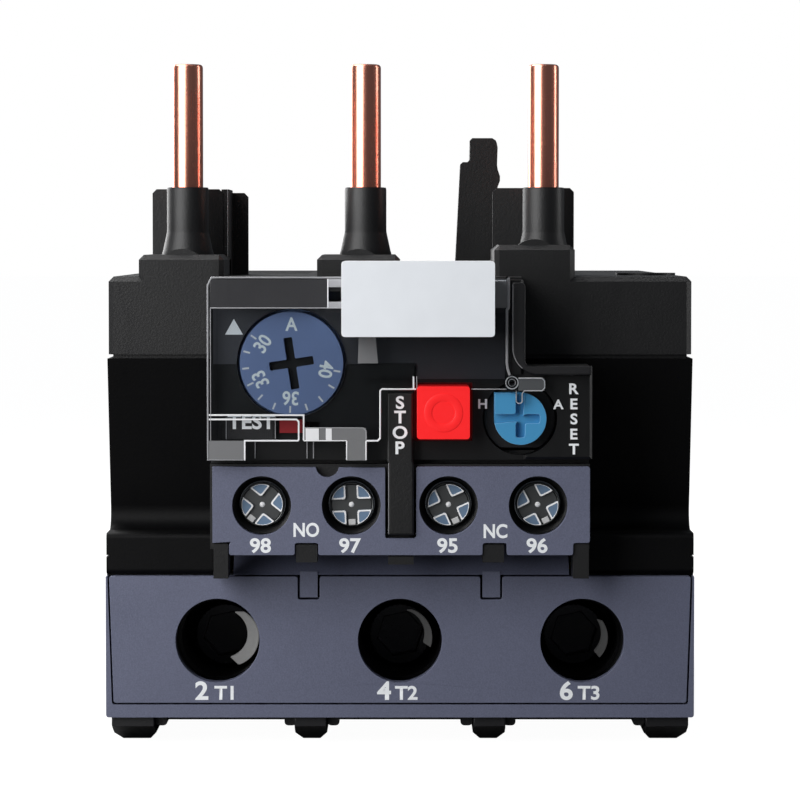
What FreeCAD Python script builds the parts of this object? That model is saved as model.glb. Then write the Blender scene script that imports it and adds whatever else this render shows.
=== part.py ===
import FreeCAD, Part
import math
import os
from FreeCAD import Vector

# Plug-in three pole thermal overload relay.
# Millimetres. +X to the right, +Y to the rear, +Z up. Sizes below are measured with Y = 0 on
# the lower terminal plate; the whole assembly is moved to the middle of its depth at the end.

# ---- overall
BODY_WIDTH = 70.0
TOTAL_DEPTH = 109.0
LABEL_FRONT = -12.0
REAR = LABEL_FRONT + TOTAL_DEPTH
HALF = BODY_WIDTH / 2
WALL = 2.4
MOVE_GAP = 0.35
RUN_CLEARANCE = 0.05
PARTING = 0.2

# ---- heights of the stacked mouldings
BASE_Z = 3.46
FLOOR_TOP = 5.2
PLATE_TOP = 20.3
LEDGE_Z = 25.35
HOUSING_TOP = 46.1
GROOVE = 0.47
SHELL_BOTTOM = HOUSING_TOP + GROOVE
SHELL_TOP = 55.9
BASE_TOPS = [SHELL_TOP + 2.6, SHELL_TOP + 2.6, SHELL_TOP + 3.77]
COLLAR_TOP = SHELL_TOP + 10.75
SHELL_INSET = 0.07
GROOVE_DEPTH = 0.6
SHELL_ROOF = 2.2

# ---- depths of the faces, behind the lower terminal plate
PLATE_THICK = 2.0
BAND_FRONT = 1.2
SLOPE_LOW = 9.4
SLOPE_TOP = 3.7
SHELL_FRONT = 4.5
REAR_COVER_THICK = 2.4
REAR_JOINT = REAR - REAR_COVER_THICK

# ---- poles
POLE_PITCH = 0.31 * BODY_WIDTH
POLE_X = [-POLE_PITCH, 0.0, POLE_PITCH]
PIN_SHIFT = -4.2
PIN_X = [x + PIN_SHIFT for x in POLE_X]
PIN_RADIUS = 1.875
PIN_ROOT_R = 1.6
PIN_TOP = COLLAR_TOP + 14.99
PIN_Y = 14.0
STRAP_Z = (42.6, 45.0)
STRAP_HALF = 2.4
STRAP_END_Y = 62.0
COLLAR_R = 2.5
COLLAR_FOOT_R = 3.1
BASE_X = [(-5.4, 4.8), (-5.75, 4.2), (-6.2, 3.45)]
HOOK_X = PIN_X[2] - 7.2

# ---- main terminals
TERMINAL_HOLE_R = 5.0
TERMINAL_HOLE_Z = 12.64
TUBE_BORE_R = 5.6
TUBE_WALL = 1.2
TUBE_Z = 11.9
TUBE_END = 27.5
SCREW_WALL = 1.5
MAIN_SCREW_Z = 11.1
MAIN_HEAD_R = 3.85
MAIN_HEAD_FRONT = 22.6
MAIN_HEAD_LENGTH = 4.5
MAIN_SHANK_R = 3.0
MAIN_SCREW_TIP = 39.7
HEX_FLATS = 5.0
HEX_DEPTH = 3.0
BUSBAR_FRONT = 40.0
BUSBAR_THICK = 2.5
BUSBAR_HALF = 5.5
SHELF_Z = 21.0
SHELF_THICK = 2.0
SHELF_REAR = 70.0
CAGE_FRONT = 34.0
CAGE_WALL = 3.5
CAGE_REAR = 55.5
CAGE_REAR_WALL = 3.0
CAGE_HALF = POLE_PITCH / 2 - 1.85
CAGE_SIDE = 1.5
CAGE_Z = (5.6, 17.0)
CABLE_HALF = CAGE_HALF - 2.0
CABLE_Y = (33.0, 56.0)

# ---- control block and auxiliary terminals
BLOCK_HALF = 22.3
CONTROL_RIGHT_TOP = BLOCK_HALF - 7.9
CONTROL_BOTTOM = 34.0
CONTROL_STEP_Z = 45.5
CONTROL_REAR = 10.6
CONTROL_WALL = 1.5
FASCIA_FRONT = -5.0
FASCIA_BACK = -3.0
FASCIA_BOTTOM = 34.5
FASCIA_TOP = 55.6
AUX_FRONT = -6.5
AUX_COVER_THICK = 1.2
AUX_BLOCK_FRONT = AUX_FRONT + AUX_COVER_THICK
AUX_BLOCK_Z = (24.0, 34.0)
AUX_COVER_Z = (23.37, 33.76)
AUX_COVER_X = (-BLOCK_HALF + 0.33, BLOCK_HALF - 0.05)
AUX_CELL_HALF = (BLOCK_HALF - 4.3) / 4
AUX_INNER_X = AUX_CELL_HALF + 1.2
AUX_OUTER_X = AUX_INNER_X + 2 * AUX_CELL_HALF + 1.5
AUX_X = [-AUX_OUTER_X, -AUX_INNER_X, AUX_INNER_X, AUX_OUTER_X]
AUX_MIDDLE_X = (AUX_INNER_X + AUX_OUTER_X) / 2
AUX_SCREW_Z = 29.18
AUX_HOLE_R = AUX_CELL_HALF - 1.05
AUX_CELL_TOP = 32.4
AUX_CELL_REAR = 9.2
AUX_FLOOR = 25.2
AUX_BAR_Y = (2.6, 3.6)
AUX_HEAD_R = 2.6
AUX_HEAD_Y = (-4.75, -2.75)
AUX_SHANK_R = 1.45
AUX_SHANK_TIP = 5.5
AUX_CLAMP_Y = (-2.4, -1.6)
AUX_CLAMP_HALF = 2.8

# ---- operating parts
DIAL_X = -0.5695 * BLOCK_HALF
DIAL_Z = 45.84
DIAL_R = 6.05
DIAL_FRONT = -6.0
STOP_X = (0.089 * BLOCK_HALF, 0.365 * BLOCK_HALF)
STOP_Z = (37.08, 43.23)
STOP_FRONT = -8.5
RESET_X = 0.63 * BLOCK_HALF
RESET_Z = 39.41
RESET_R = 3.04
RESET_FRONT = -7.5
RESET_FLANGE_R = RESET_X - STOP_X[1] - 1.16
RESET_HOLE_R = RESET_FLANGE_R - 0.4
FLANGE_Y = (-2.65, -1.65)
STEM_END = 10.4
TEST_X = (-BLOCK_HALF + 8.2, -BLOCK_HALF + 11.0)
TEST_Z = (37.7, 39.26)
TEST_TRAVEL = 1.5

# ---- clear cover
COVER_FRONT = -8.0
COVER_THICK = 1.2
COVER_BACK = COVER_FRONT + COVER_THICK
COVER_X = (-BLOCK_HALF - 0.2, CONTROL_RIGHT_TOP - 1.8)
COVER_TOP = 56.0
COVER_LOW = STOP_Z[1] + MOVE_GAP
HINGE_Y = -6.9
HINGE_Z = 55.1
HINGE_R = 0.5
CLIP_X = [(-8.4, -6.9), (COVER_X[1] - 1.55, COVER_X[1] - 0.6)]

# ---- trip mechanism
SLIDER_Y = (64.0, 68.5)
SLIDER_Z = (41.0, 44.0)
LEVER_X = HALF - 8.5
LEVER_Z = 49.5
LEVER_PIN_R = 1.2
LEVER_Y = (22.4, 69.6)
BRIDGE_TRAVEL = 2.88
BRIDGE_Y = (20.0, 23.0)
BRIDGE_Z = (29.0, 32.0)
STRIP = 0.6
BAR_THICK = 0.8


def block(x, y, z):
    return Part.makeBox(x[1] - x[0], y[1] - y[0], z[1] - z[0], Vector(x[0], y[0], z[0]))


def rod_y(x, z, radius, y):
    return Part.makeCylinder(radius, y[1] - y[0], Vector(x, y[0], z), Vector(0, 1, 0))


def rod_x(y, z, radius, x):
    return Part.makeCylinder(radius, x[1] - x[0], Vector(x[0], y, z), Vector(1, 0, 0))


def rod_z(x, y, radius, z):
    return Part.makeCylinder(radius, z[1] - z[0], Vector(x, y, z[0]), Vector(0, 0, 1))


def face_of(points):
    return Part.Face(Part.makePolygon(points + [points[0]]))


def panel(points, y):
    """Extrude an outline drawn in X and Z along Y."""
    return face_of([Vector(px, y[0], pz) for px, pz in points]).extrude(Vector(0, y[1] - y[0], 0))


def section(points, x):
    """Extrude an outline drawn in Y and Z along X."""
    return face_of([Vector(x[0], py, pz) for py, pz in points]).extrude(Vector(x[1] - x[0], 0, 0))


def join(*shapes):
    result = shapes[0].fuse(list(shapes[1:]))
    return result.removeSplitter()


def edges_where(shape, rule):
    found = []
    for edge in shape.Edges:
        box = edge.BoundBox
        if rule(box):
            found.append(edge)
    return found


def along_y(box):
    return box.XLength < 0.01 and box.ZLength < 0.01


def along_z(box):
    return box.XLength < 0.01 and box.YLength < 0.01


def along_x(box):
    return box.YLength < 0.01 and box.ZLength < 0.01


def at(value, target):
    return abs(value - target) < 0.02


def front_edges(shape, y):
    return edges_where(shape, lambda box: at(box.YMin, y) and at(box.YMax, y))


def spring(x, z, mean_radius, y, turns, wire):
    """Square wire compression spring along Y, each turn bent in ten flats."""
    flats = 10
    steps = turns * flats
    rise = (y[1] - y[0] - 1.1 * wire) / steps
    route = []
    for step in range(steps + 1):
        angle = 2 * math.pi * step / flats
        across = mean_radius * math.cos(angle)
        up = mean_radius * math.sin(angle)
        route.append(Vector(x + across, y[0] + wire / 2 + rise * step, z + up))
    half = wire / 2
    square = [(-half, -half), (half, -half), (half, half), (-half, half)]
    corners = [route[0] + Vector(a, b, 0) for a, b in square]
    profile = Part.makePolygon(corners + corners[:1])
    mitred = 1
    return Part.makePolygon(route).makePipeShell([profile], True, False, mitred)


# ------------------------------------------------------------------ casing

def housing_profile():
    return [(PLATE_THICK, BASE_Z), (PLATE_THICK, PLATE_TOP + PARTING), (BAND_FRONT, PLATE_TOP + PARTING),
            (BAND_FRONT, LEDGE_Z), (SLOPE_LOW, LEDGE_Z), (SLOPE_TOP, HOUSING_TOP),
            (REAR_JOINT, HOUSING_TOP), (REAR_JOINT, BASE_Z)]


def housing_cavity():
    front = PLATE_THICK + 1.6
    return [(front, FLOOR_TOP), (front, LEDGE_Z - WALL), (SLOPE_LOW + WALL, LEDGE_Z - WALL),
            (SLOPE_TOP + WALL, HOUSING_TOP + 1), (REAR_JOINT + 1, HOUSING_TOP + 1),
            (REAR_JOINT + 1, FLOOR_TOP)]


def screw_tube(x):
    outer = rod_y(x, TUBE_Z, TUBE_BORE_R + TUBE_WALL, (PLATE_THICK, TUBE_END + SCREW_WALL))
    bore = rod_y(x, TUBE_Z, TUBE_BORE_R, (PLATE_THICK - 1, TUBE_END))
    guide = rod_y(x, MAIN_SCREW_Z, MAIN_SHANK_R + RUN_CLEARANCE, (TUBE_END - 1, TUBE_END + 5))
    return outer, bore.fuse(guide)


def main_housing():
    shape = section(housing_profile(), (-HALF, HALF))
    ledge = edges_where(shape, lambda b: along_x(b) and at(b.YMin, SLOPE_LOW) and at(b.ZMin, LEDGE_Z))
    shape = shape.makeFillet(2.2, ledge)
    shape = shape.makeFillet(0.6, edges_where(shape, lambda b: at(b.YMin, BAND_FRONT) and along_x(b)))
    inner = HALF - WALL
    shape = shape.cut(section(housing_cavity(), (-inner, inner)))
    window_z = (PLATE_TOP + PARTING, CONTROL_STEP_Z)
    window_low = block((-BLOCK_HALF, BLOCK_HALF), (-1, SLOPE_LOW + 2 * WALL), window_z)
    window_high = block((-BLOCK_HALF, CONTROL_RIGHT_TOP), (-1, SLOPE_LOW), (CONTROL_STEP_Z, HOUSING_TOP + 1))
    shape = shape.cut([window_low, window_high])
    walls = []
    bores = []
    for pole_x, pin_x in zip(POLE_X, PIN_X):
        outer, bore = screw_tube(pole_x)
        walls.append(outer)
        bores.append(bore)
        bores.append(block((pole_x - CABLE_HALF, pole_x + CABLE_HALF), CABLE_Y, (0, FLOOR_TOP + 0.01)))
        walls.append(block((pin_x - 2, pin_x + 2), (SHELF_REAR - 4, SHELF_REAR), (FLOOR_TOP - 0.5, SHELF_Z)))
    for side in (-1, 1):
        middle = side * POLE_PITCH / 2
        rib = (middle - 0.8, middle + 0.8)
        walls.append(block(rib, (PLATE_THICK + 1, 60), (FLOOR_TOP - 0.5, PLATE_TOP)))
        walls.append(block(rib, (BRIDGE_Y[0] - 2, BRIDGE_Y[1] + 2), (PLATE_TOP - 1, BRIDGE_Z[0] - MOVE_GAP)))
        walls.append(block(rib, (SLIDER_Y[1] + MOVE_GAP, SLIDER_Y[1] + 3), (FLOOR_TOP - 0.5, SLIDER_Z[1])))
    shape = join(shape, *walls).cut(bores)
    grooves = []
    for side in (-1, 1):
        x = sorted((side * (HALF - 0.4), side * (HALF + 1)))
        grooves.append(block(x, (0, REAR), (22.54, 22.76)))
        grooves.append(block(x, (SLOPE_LOW + 16, REAR - 11), (FLOOR_TOP + 5, HOUSING_TOP - 5)))
    return shape.cut(grooves)


def rear_cover():
    shape = block((-HALF, HALF), (REAR_JOINT, REAR), (BASE_Z, HOUSING_TOP))
    shape = shape.makeChamfer(0.6, front_edges(shape, REAR))
    cuts = []
    for row in range(6):
        z = FLOOR_TOP + 6.8 + row * 4.0
        cuts.append(block((-HALF + 11, HALF - 11), (REAR - 1.0, REAR + 1), (z, z + 1.6)))
    return shape.cut(cuts)


def pin_collar(x, base_top):
    roof = SHELL_TOP - SHELL_ROOF
    profile = [(0, roof), (0, COLLAR_TOP), (COLLAR_R, COLLAR_TOP), (COLLAR_R, COLLAR_TOP - 5.15),
               (COLLAR_FOOT_R, COLLAR_TOP - 7.95), (COLLAR_FOOT_R, base_top - 1.0), (COLLAR_FOOT_R, roof)]
    face = face_of([Vector(x + r, PIN_Y, z) for r, z in profile])
    return face.revolve(Vector(x, PIN_Y, 0), Vector(0, 0, 1), 360)


def pin_base(x, top):
    shape = block(x, (SHELL_FRONT, 25.0), (SHELL_TOP - 1.0, top))
    shape = shape.makeChamfer(0.6, edges_where(shape, lambda b: along_z(b) or at(b.ZMin, top)))
    middle = (x[0] + x[1]) / 2
    bump = rod_y(middle, top - 2.3, 3.0, (SHELL_FRONT + 0.7, 9.5))
    return shape.fuse(bump)


def phase_barrier(x, y, top, rib_x):
    plate = block(x, (y, y + 1.6), (SHELL_TOP - 0.5, top))
    plate = plate.makeChamfer(0.5, edges_where(plate, lambda b: along_y(b) and b.ZMin > SHELL_TOP + 1))
    low = SHELL_TOP - 0.5
    rib = section([(y + 1, low), (y + 14, low), (y + 1, top - 0.8)], (rib_x, rib_x + 1.4))
    return plate.fuse(rib)


def upper_shell():
    half = HALF - SHELL_INSET
    shape = block((-half, half), (SHELL_FRONT, REAR), (SHELL_BOTTOM, SHELL_TOP))
    shape = shape.makeChamfer(0.6, edges_where(shape, lambda b: along_z(b) or at(b.ZMin, SHELL_TOP)))
    neck_x = HALF - GROOVE_DEPTH
    neck_y = (SHELL_FRONT + GROOVE_DEPTH, REAR - GROOVE_DEPTH)
    neck = block((-neck_x, neck_x), neck_y, (HOUSING_TOP, SHELL_BOTTOM + 1))
    inner = HALF - WALL
    hollow_y = (SHELL_FRONT + WALL, REAR - WALL)
    hollow = block((-inner, inner), hollow_y, (HOUSING_TOP - 1, SHELL_TOP - SHELL_ROOF))
    wall_x = (-BLOCK_HALF - 1.2, CONTROL_RIGHT_TOP + 1.2)
    wall_y = (SHELL_FRONT + 1, CONTROL_REAR + 0.9)
    front_wall = block(wall_x, wall_y, (HOUSING_TOP, SHELL_TOP - 1))
    window = block((-BLOCK_HALF, CONTROL_RIGHT_TOP), (0, CONTROL_REAR), (HOUSING_TOP - 1, SHELL_TOP))
    shape = join(shape, neck).cut(hollow)
    hangers = []
    for y in (LEVER_Y[0] - 2.4, LEVER_Y[1] + 0.4):
        hangers.append(block((LEVER_X - 2, LEVER_X + 2), (y, y + 2), (LEVER_Z - 2.2, SHELL_TOP - 1)))
    bases = [pin_base((x + low, x + high), top) for x, (low, high), top in zip(PIN_X, BASE_X, BASE_TOPS)]
    collars = [pin_collar(x, top) for x, top in zip(PIN_X, BASE_TOPS)]
    left, right = PIN_X[0], PIN_X[2]
    barriers = [phase_barrier((left - 4.7, left + 4.0), 20.0, COLLAR_TOP - 0.1, left - 4.7),
                phase_barrier((left + 3.9, left + 6.75), 29.0, COLLAR_TOP - 0.45, left + 3.9),
                phase_barrier((right - 6.05, right + 4.0), 20.0, COLLAR_TOP + 0.05, right + 2.6)]
    boss = rod_z(HALF - 4.5, 22, 3.7, (SHELL_TOP - 1, SHELL_TOP + 0.3))
    shape = join(shape, front_wall, boss, *hangers, *bases, *barriers, *collars)
    pin_holes = [rod_z(x, PIN_Y, PIN_ROOT_R, (HOUSING_TOP - 1, COLLAR_TOP + 1)) for x in PIN_X]
    vents = []
    for column in (-1, 0, 1):
        middle = column * (HALF - 17)
        for row in range(6):
            y = SLOPE_LOW + 37 + row * 7.0
            vents.append(block((middle - 6, middle + 6), (y, y + 2.0), (SHELL_TOP - 4, SHELL_TOP + 1)))
    lever_hole = rod_y(LEVER_X, LEVER_Z, LEVER_PIN_R, (LEVER_Y[0] - 4, LEVER_Y[1] + 4))
    return shape.cut([window, lever_hole] + pin_holes + vents)


def plate_outline(grow):
    top = PLATE_TOP + grow
    low = FLOOR_TOP - grow
    narrow = HALF - 0.9 + grow
    wide = HALF - 0.4 + grow
    return [(-narrow, low), (narrow, low), (wide, top), (-wide, top)]


def terminal_plate():
    shape = panel(plate_outline(0), (0, PLATE_THICK))
    holes = [rod_y(x, TERMINAL_HOLE_Z, TERMINAL_HOLE_R, (-1, PLATE_THICK + 1)) for x in POLE_X]
    notches = []
    for side in (-1, 1):
        middle = side * POLE_PITCH / 2
        notches.append(block((middle - 1.3, middle + 1.3), (-1, PLATE_THICK + 1), (17.55, PLATE_TOP + 1)))
    shape = shape.cut(holes + notches)
    return shape.makeChamfer(0.22, edges_where(shape, lambda b: at(b.YMax, 0) and b.XLength > 10))


def terminal_frame():
    shape = block((-HALF, HALF), (0, PLATE_THICK), (BASE_Z, PLATE_TOP))
    return shape.cut(panel(plate_outline(PARTING), (-1, PLATE_THICK + 1)))


def aux_lock_strip():
    lean = section([(0, PLATE_TOP + PARTING), (1.6, PLATE_TOP + PARTING), (4.6, 23.9), (3.0, 23.9)],
                   (-BLOCK_HALF + 2.5, BLOCK_HALF - 2.2))
    tabs = []
    for side in (-1, 1):
        middle = side * POLE_PITCH / 2
        tabs.append(block((middle - 1.05, middle + 1.05), (0, 1.6), (17.8, PLATE_TOP + 0.6)))
    return join(lean, *tabs)


def foot_grid():
    rear = REAR - 7
    runner = [(0.8, BASE_Z), (0.8, 1.0), (1.8, 0), (rear - 2, 0), (rear, 1.6), (rear, BASE_Z)]
    outer = (HALF - 5.7, HALF - 0.6)
    inner = (POLE_PITCH / 2 - 1.95, POLE_PITCH / 2 + 1.95)
    feet = []
    for low, high in (outer, inner):
        feet.append(section(runner, (low, high)))
        feet.append(section(runner, (-high, -low)))
    for x in POLE_X:
        for side in (-1, 1):
            middle = x + side * (CABLE_HALF + 0.7)
            feet.append(block((middle - 0.6, middle + 0.6), (0.8, 60), (1.2, BASE_Z)))
    width = (-outer[1], outer[1])
    feet.append(block(width, (CABLE_Y[1] + 4, rear - 2), (BASE_Z - 1.66, BASE_Z)))
    feet.append(block(width, (8, CABLE_Y[0] - 3), (BASE_Z - 1.26, BASE_Z)))
    return join(*feet)


def mounting_hook():
    outline = [(-3.37, 1.1), (-2.71, 14.16), (-1.52, 14.16), (-1.52, 17.17), (1.6, 17.17), (1.99, 16.3),
               (1.9, 13.5), (2.37, 12.1), (1.8, 10.5), (1.8, 1.1)]
    arm = panel([(HOOK_X + across, SHELL_TOP + up) for across, up in outline], (28.0, 31.0))
    arm = arm.makeChamfer(0.3, edges_where(arm, lambda b: along_y(b) and b.ZMin > SHELL_TOP + 4))
    foot = block((HOOK_X - 4.3, HOOK_X + 2.9), (25.5, 34.0), (SHELL_TOP, SHELL_TOP + 1.3))
    nose_z = SHELL_TOP + 14.5
    hook = section([(30.5, nose_z - 1.4), (34.0, nose_z), (30.5, nose_z + 2.0)], (HOOK_X - 1.52, HOOK_X + 1.6))
    low = SHELL_TOP + 1.1
    rib = section([(30.5, low), (33.6, low), (30.5, low + 9.0)], (HOOK_X - 1.4, HOOK_X + 0.1))
    return join(arm, foot, hook, rib)


# ------------------------------------------------------------------ control block

def aux_block():
    shape = block((-BLOCK_HALF, BLOCK_HALF), (AUX_BLOCK_FRONT, CONTROL_REAR), AUX_BLOCK_Z)
    cuts = []
    for x in AUX_X:
        cell = (x - AUX_CELL_HALF, x + AUX_CELL_HALF)
        cuts.append(block(cell, (AUX_BLOCK_FRONT - 1, AUX_BAR_Y[0]), (AUX_BLOCK_Z[0] - 1, AUX_CELL_TOP)))
        cuts.append(block(cell, (AUX_BAR_Y[0] - 0.1, AUX_CELL_REAR), (AUX_FLOOR, AUX_CELL_TOP)))
        tail = (x + 3.2 - BAR_THICK, x + 3.2)
        cuts.append(block(tail, (AUX_CELL_REAR - 1, CONTROL_REAR + 1), (28.5, 31.5)))
    cuts.append(section([(1.5, 23.0), (6.0, 23.0), (6.0, 24.6), (2.4, 24.6)],
                        (-BLOCK_HALF + 2.1, BLOCK_HALF - 1.8)))
    tabs = [block((-BLOCK_HALF + 0.43, -BLOCK_HALF + 2.15), (AUX_FRONT + 0.3, -0.4), (20.6, 24.7)),
            block((BLOCK_HALF - 2.0, BLOCK_HALF - 0.15), (AUX_FRONT + 0.3, -0.4), (20.6, 24.7)),
            block((-1.4, 1.6), (AUX_FRONT + 0.3, -2.0), (22.25, 23.2))]
    for middle in (-AUX_MIDDLE_X, AUX_MIDDLE_X):
        tabs.append(block((middle - 1.25, middle + 1.25), (AUX_FRONT + 0.3, -2.0), (22.5, 24.6)))
    keel = block((-1.2, 1.2), (AUX_BLOCK_FRONT, -2.0), (22.25, 25.0))
    return join(shape.cut(cuts), keel, *tabs)


def aux_cover():
    left, right = AUX_COVER_X
    shape = block(AUX_COVER_X, (AUX_FRONT, AUX_BLOCK_FRONT), AUX_COVER_Z)
    shape = shape.makeChamfer(0.2, edges_where(shape, lambda b: at(b.YMax, AUX_FRONT) or along_y(b)))
    depth = (AUX_FRONT - 1, 0)
    cuts = [rod_y(x, AUX_SCREW_Z, AUX_HOLE_R, depth) for x in AUX_X]
    notches = [(left - 1, left + 1.92), (-AUX_MIDDLE_X - 1.38, -AUX_MIDDLE_X + 1.38),
               (AUX_MIDDLE_X - 1.38, AUX_MIDDLE_X + 1.38), (right - 2.05, right + 1)]
    for x in notches:
        cuts.append(block(x, depth, (20, 24.8)))
    cuts.append(block((-1.73, 1.9), depth, (25.36, 40)))
    cuts.append(rod_y(-AUX_MIDDLE_X + 2.45, AUX_COVER_Z[1] + 0.1, 1.36, depth))
    return shape.cut(cuts)


def stop_guide_bar():
    outline = [(-1.4, 25.77), (1.63, 25.77), (1.63, 34.2), (1.53, 34.5), (1.53, 42.47), (-1.53, 42.47),
               (-1.53, 34.5), (-1.4, 34.2)]
    shape = panel(outline, (-7.0, AUX_BLOCK_FRONT))
    backing = panel([(-1.53, 34.6), (1.53, 34.6), (1.53, 42.4), (-1.53, 42.4)], (AUX_BLOCK_FRONT, FASCIA_FRONT))
    shape = join(shape, backing)
    return shape.makeFillet(0.25, edges_where(shape, lambda b: at(b.YMax, -7.0)))


def control_outline(low, top):
    return [(-BLOCK_HALF, low), (BLOCK_HALF, low), (BLOCK_HALF, CONTROL_STEP_Z),
            (CONTROL_RIGHT_TOP, CONTROL_STEP_Z), (CONTROL_RIGHT_TOP, top), (-BLOCK_HALF, top)]


def control_housing():
    shape = panel(control_outline(CONTROL_BOTTOM, SHELL_TOP), (FASCIA_BACK, CONTROL_REAR))
    w = CONTROL_WALL
    inner = [(-BLOCK_HALF + w, CONTROL_BOTTOM + w), (BLOCK_HALF - w, CONTROL_BOTTOM + w),
             (BLOCK_HALF - w, CONTROL_STEP_Z - w), (CONTROL_RIGHT_TOP - w, CONTROL_STEP_Z - w),
             (CONTROL_RIGHT_TOP - w, SHELL_TOP - w), (-BLOCK_HALF + w, SHELL_TOP - w)]
    shape = shape.cut(panel(inner, (FASCIA_BACK - 1, CONTROL_REAR - w)))
    rear = (CONTROL_REAR - w - 1, CONTROL_REAR + 1)
    stop_middle = sum(STOP_X) / 2
    holes = [rod_y(DIAL_X, DIAL_Z, 2.0 + RUN_CLEARANCE, rear),
             rod_y(stop_middle, sum(STOP_Z) / 2, 1.6 + RUN_CLEARANCE, rear),
             rod_y(RESET_X, RESET_Z, 2.6 + RUN_CLEARANCE, rear)]
    return shape.cut(holes)


def control_fascia():
    shape = panel(control_outline(FASCIA_BOTTOM, FASCIA_TOP), (FASCIA_FRONT, FASCIA_BACK))
    rim_x = CONTROL_RIGHT_TOP - 1.55
    raised_x = (CONTROL_RIGHT_TOP + 0.1, BLOCK_HALF + 0.2)
    raised = block(raised_x, (-6.2, FASCIA_FRONT + 0.5), (34.6, CONTROL_STEP_Z))
    raised = raised.makeChamfer(0.3, front_edges(raised, -6.2))
    rim = block((rim_x, CONTROL_RIGHT_TOP), (-7.4, FASCIA_FRONT + 0.5), (44.6, FASCIA_TOP))
    rim = rim.makeChamfer(0.3, edges_where(rim, lambda b: along_z(b) and at(b.YMin, -7.4)))
    foot_outline = [(0, 45.4), (0.4, 44.0), (1.5, 43.2), (3.6, 43.2), (4.2, 45.4)]
    foot = panel([(rim_x + across, z) for across, z in foot_outline], (-7.0, FASCIA_FRONT + 0.5))
    test_bar = block((-BLOCK_HALF + 1.9, -BLOCK_HALF + 7.7), (-6.0, FASCIA_FRONT + 0.5), (37.4, 39.9))
    step_panel = block((-4.6, 1.68), (-5.8, FASCIA_FRONT + 0.5), (44.0, 45.83))
    ears = []
    for x in CLIP_X:
        ear = section([(FASCIA_FRONT + 0.5, 52.6), (-6.2, 53.2), (-7.6, 54.3), (-7.6, 55.4), (-6.6, FASCIA_TOP),
                       (FASCIA_FRONT + 0.5, FASCIA_TOP)], x)
        ears.append(ear.cut(rod_x(HINGE_Y, HINGE_Z, HINGE_R, (x[0] - 1, x[1] + 1))))
    shape = join(shape, raised, rim, foot, test_bar, step_panel, *ears)
    through = (-9, 0)
    stop_x = (STOP_X[0] - MOVE_GAP, STOP_X[1] + MOVE_GAP)
    stop_z = (STOP_Z[0] - MOVE_GAP, STOP_Z[1] + MOVE_GAP)
    holes = [rod_y(DIAL_X, DIAL_Z, DIAL_R + MOVE_GAP, through),
             block(stop_x, through, stop_z),
             rod_y(RESET_X, RESET_Z, RESET_HOLE_R, through),
             block((TEST_X[0], TEST_X[1] + TEST_TRAVEL + MOVE_GAP), (FASCIA_FRONT, 0), (38.05, 38.95)),
             block((BLOCK_HALF - 2.4, BLOCK_HALF - 0.5), (-6.4, -5.9), (44.4, 44.9))]
    return shape.cut(holes)


# ------------------------------------------------------------------ operating parts

def current_dial():
    disc = rod_y(DIAL_X, DIAL_Z, DIAL_R, (DIAL_FRONT, -3.4))
    disc = disc.makeChamfer(0.3, front_edges(disc, DIAL_FRONT))
    flange = rod_y(DIAL_X, DIAL_Z, DIAL_R + 0.6, FLANGE_Y)
    shaft = rod_y(DIAL_X, DIAL_Z, 2.0, (-4.0, STEM_END))
    cam = rod_y(DIAL_X + 1.1, DIAL_Z, 3.4, (4.0, 7.0))
    shape = join(disc, flange, shaft, cam)
    long_arm = block((-3.05, 3.05), (DIAL_FRONT - 1, DIAL_FRONT + 1.2), (-0.5, 0.5))
    short_arm = block((-0.5, 0.5), (DIAL_FRONT - 1, DIAL_FRONT + 1.2), (-2.55, 2.55))
    slot = long_arm.fuse(short_arm)
    slot.rotate(Vector(0, 0, 0), Vector(0, 1, 0), -7.8)
    slot.translate(Vector(DIAL_X, 0, DIAL_Z))
    return shape.cut(slot)


def stop_button():
    middle_x = sum(STOP_X) / 2
    middle_z = sum(STOP_Z) / 2
    cap = block(STOP_X, (STOP_FRONT, -2.5), STOP_Z)
    cap = cap.makeChamfer(0.4, edges_where(cap, lambda b: along_y(b) or at(b.YMax, STOP_FRONT)))
    flange = block((STOP_X[0] - 0.7, STOP_X[1] + 0.7), FLANGE_Y, (STOP_Z[0] - 0.7, STOP_Z[1] + 0.7))
    stem = rod_y(middle_x, middle_z, 1.6, (FLANGE_Y[0], STEM_END))
    dish = rod_y(middle_x, middle_z, 2.3, (STOP_FRONT - 1, STOP_FRONT + 0.3))
    return join(cap, flange, stem).cut(dish)


def reset_plunger():
    body = rod_y(RESET_X, RESET_Z, 2.6, (-3.7, STEM_END))
    floor = CONTROL_BOTTOM + CONTROL_WALL + MOVE_GAP
    ceiling = CONTROL_STEP_Z - CONTROL_WALL - MOVE_GAP
    flange = block((RESET_X - RESET_FLANGE_R, RESET_X + RESET_FLANGE_R), FLANGE_Y, (floor, ceiling))
    shape = join(body, flange)
    return shape.cut(rod_y(RESET_X, RESET_Z, 0.9 + RUN_CLEARANCE, (-5, 3.5)))


def reset_knob():
    face = (RESET_FRONT, -4.1)
    disc = rod_y(RESET_X, RESET_Z, RESET_R, face)
    corner = block((RESET_X - RESET_R, RESET_X), face, (RESET_Z, RESET_Z + RESET_R))
    outer = edges_where(corner, lambda b: along_y(b) and at(b.XMin, RESET_X - RESET_R) and b.ZMin > RESET_Z + 1)
    corner = corner.makeChamfer(0.5, outer)
    head = join(disc, corner)
    spindle = rod_y(RESET_X, RESET_Z, 0.9, (face[1] - 0.5, 3.0))
    arms = []
    for half_x, half_z in ((2.2, 0.65), (0.65, 2.2)):
        arms.append(block((RESET_X - half_x, RESET_X + half_x), (RESET_FRONT - 1, RESET_FRONT + 1.3),
                          (RESET_Z - half_z, RESET_Z + half_z)))
    return join(head, spindle).cut(arms)


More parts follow.
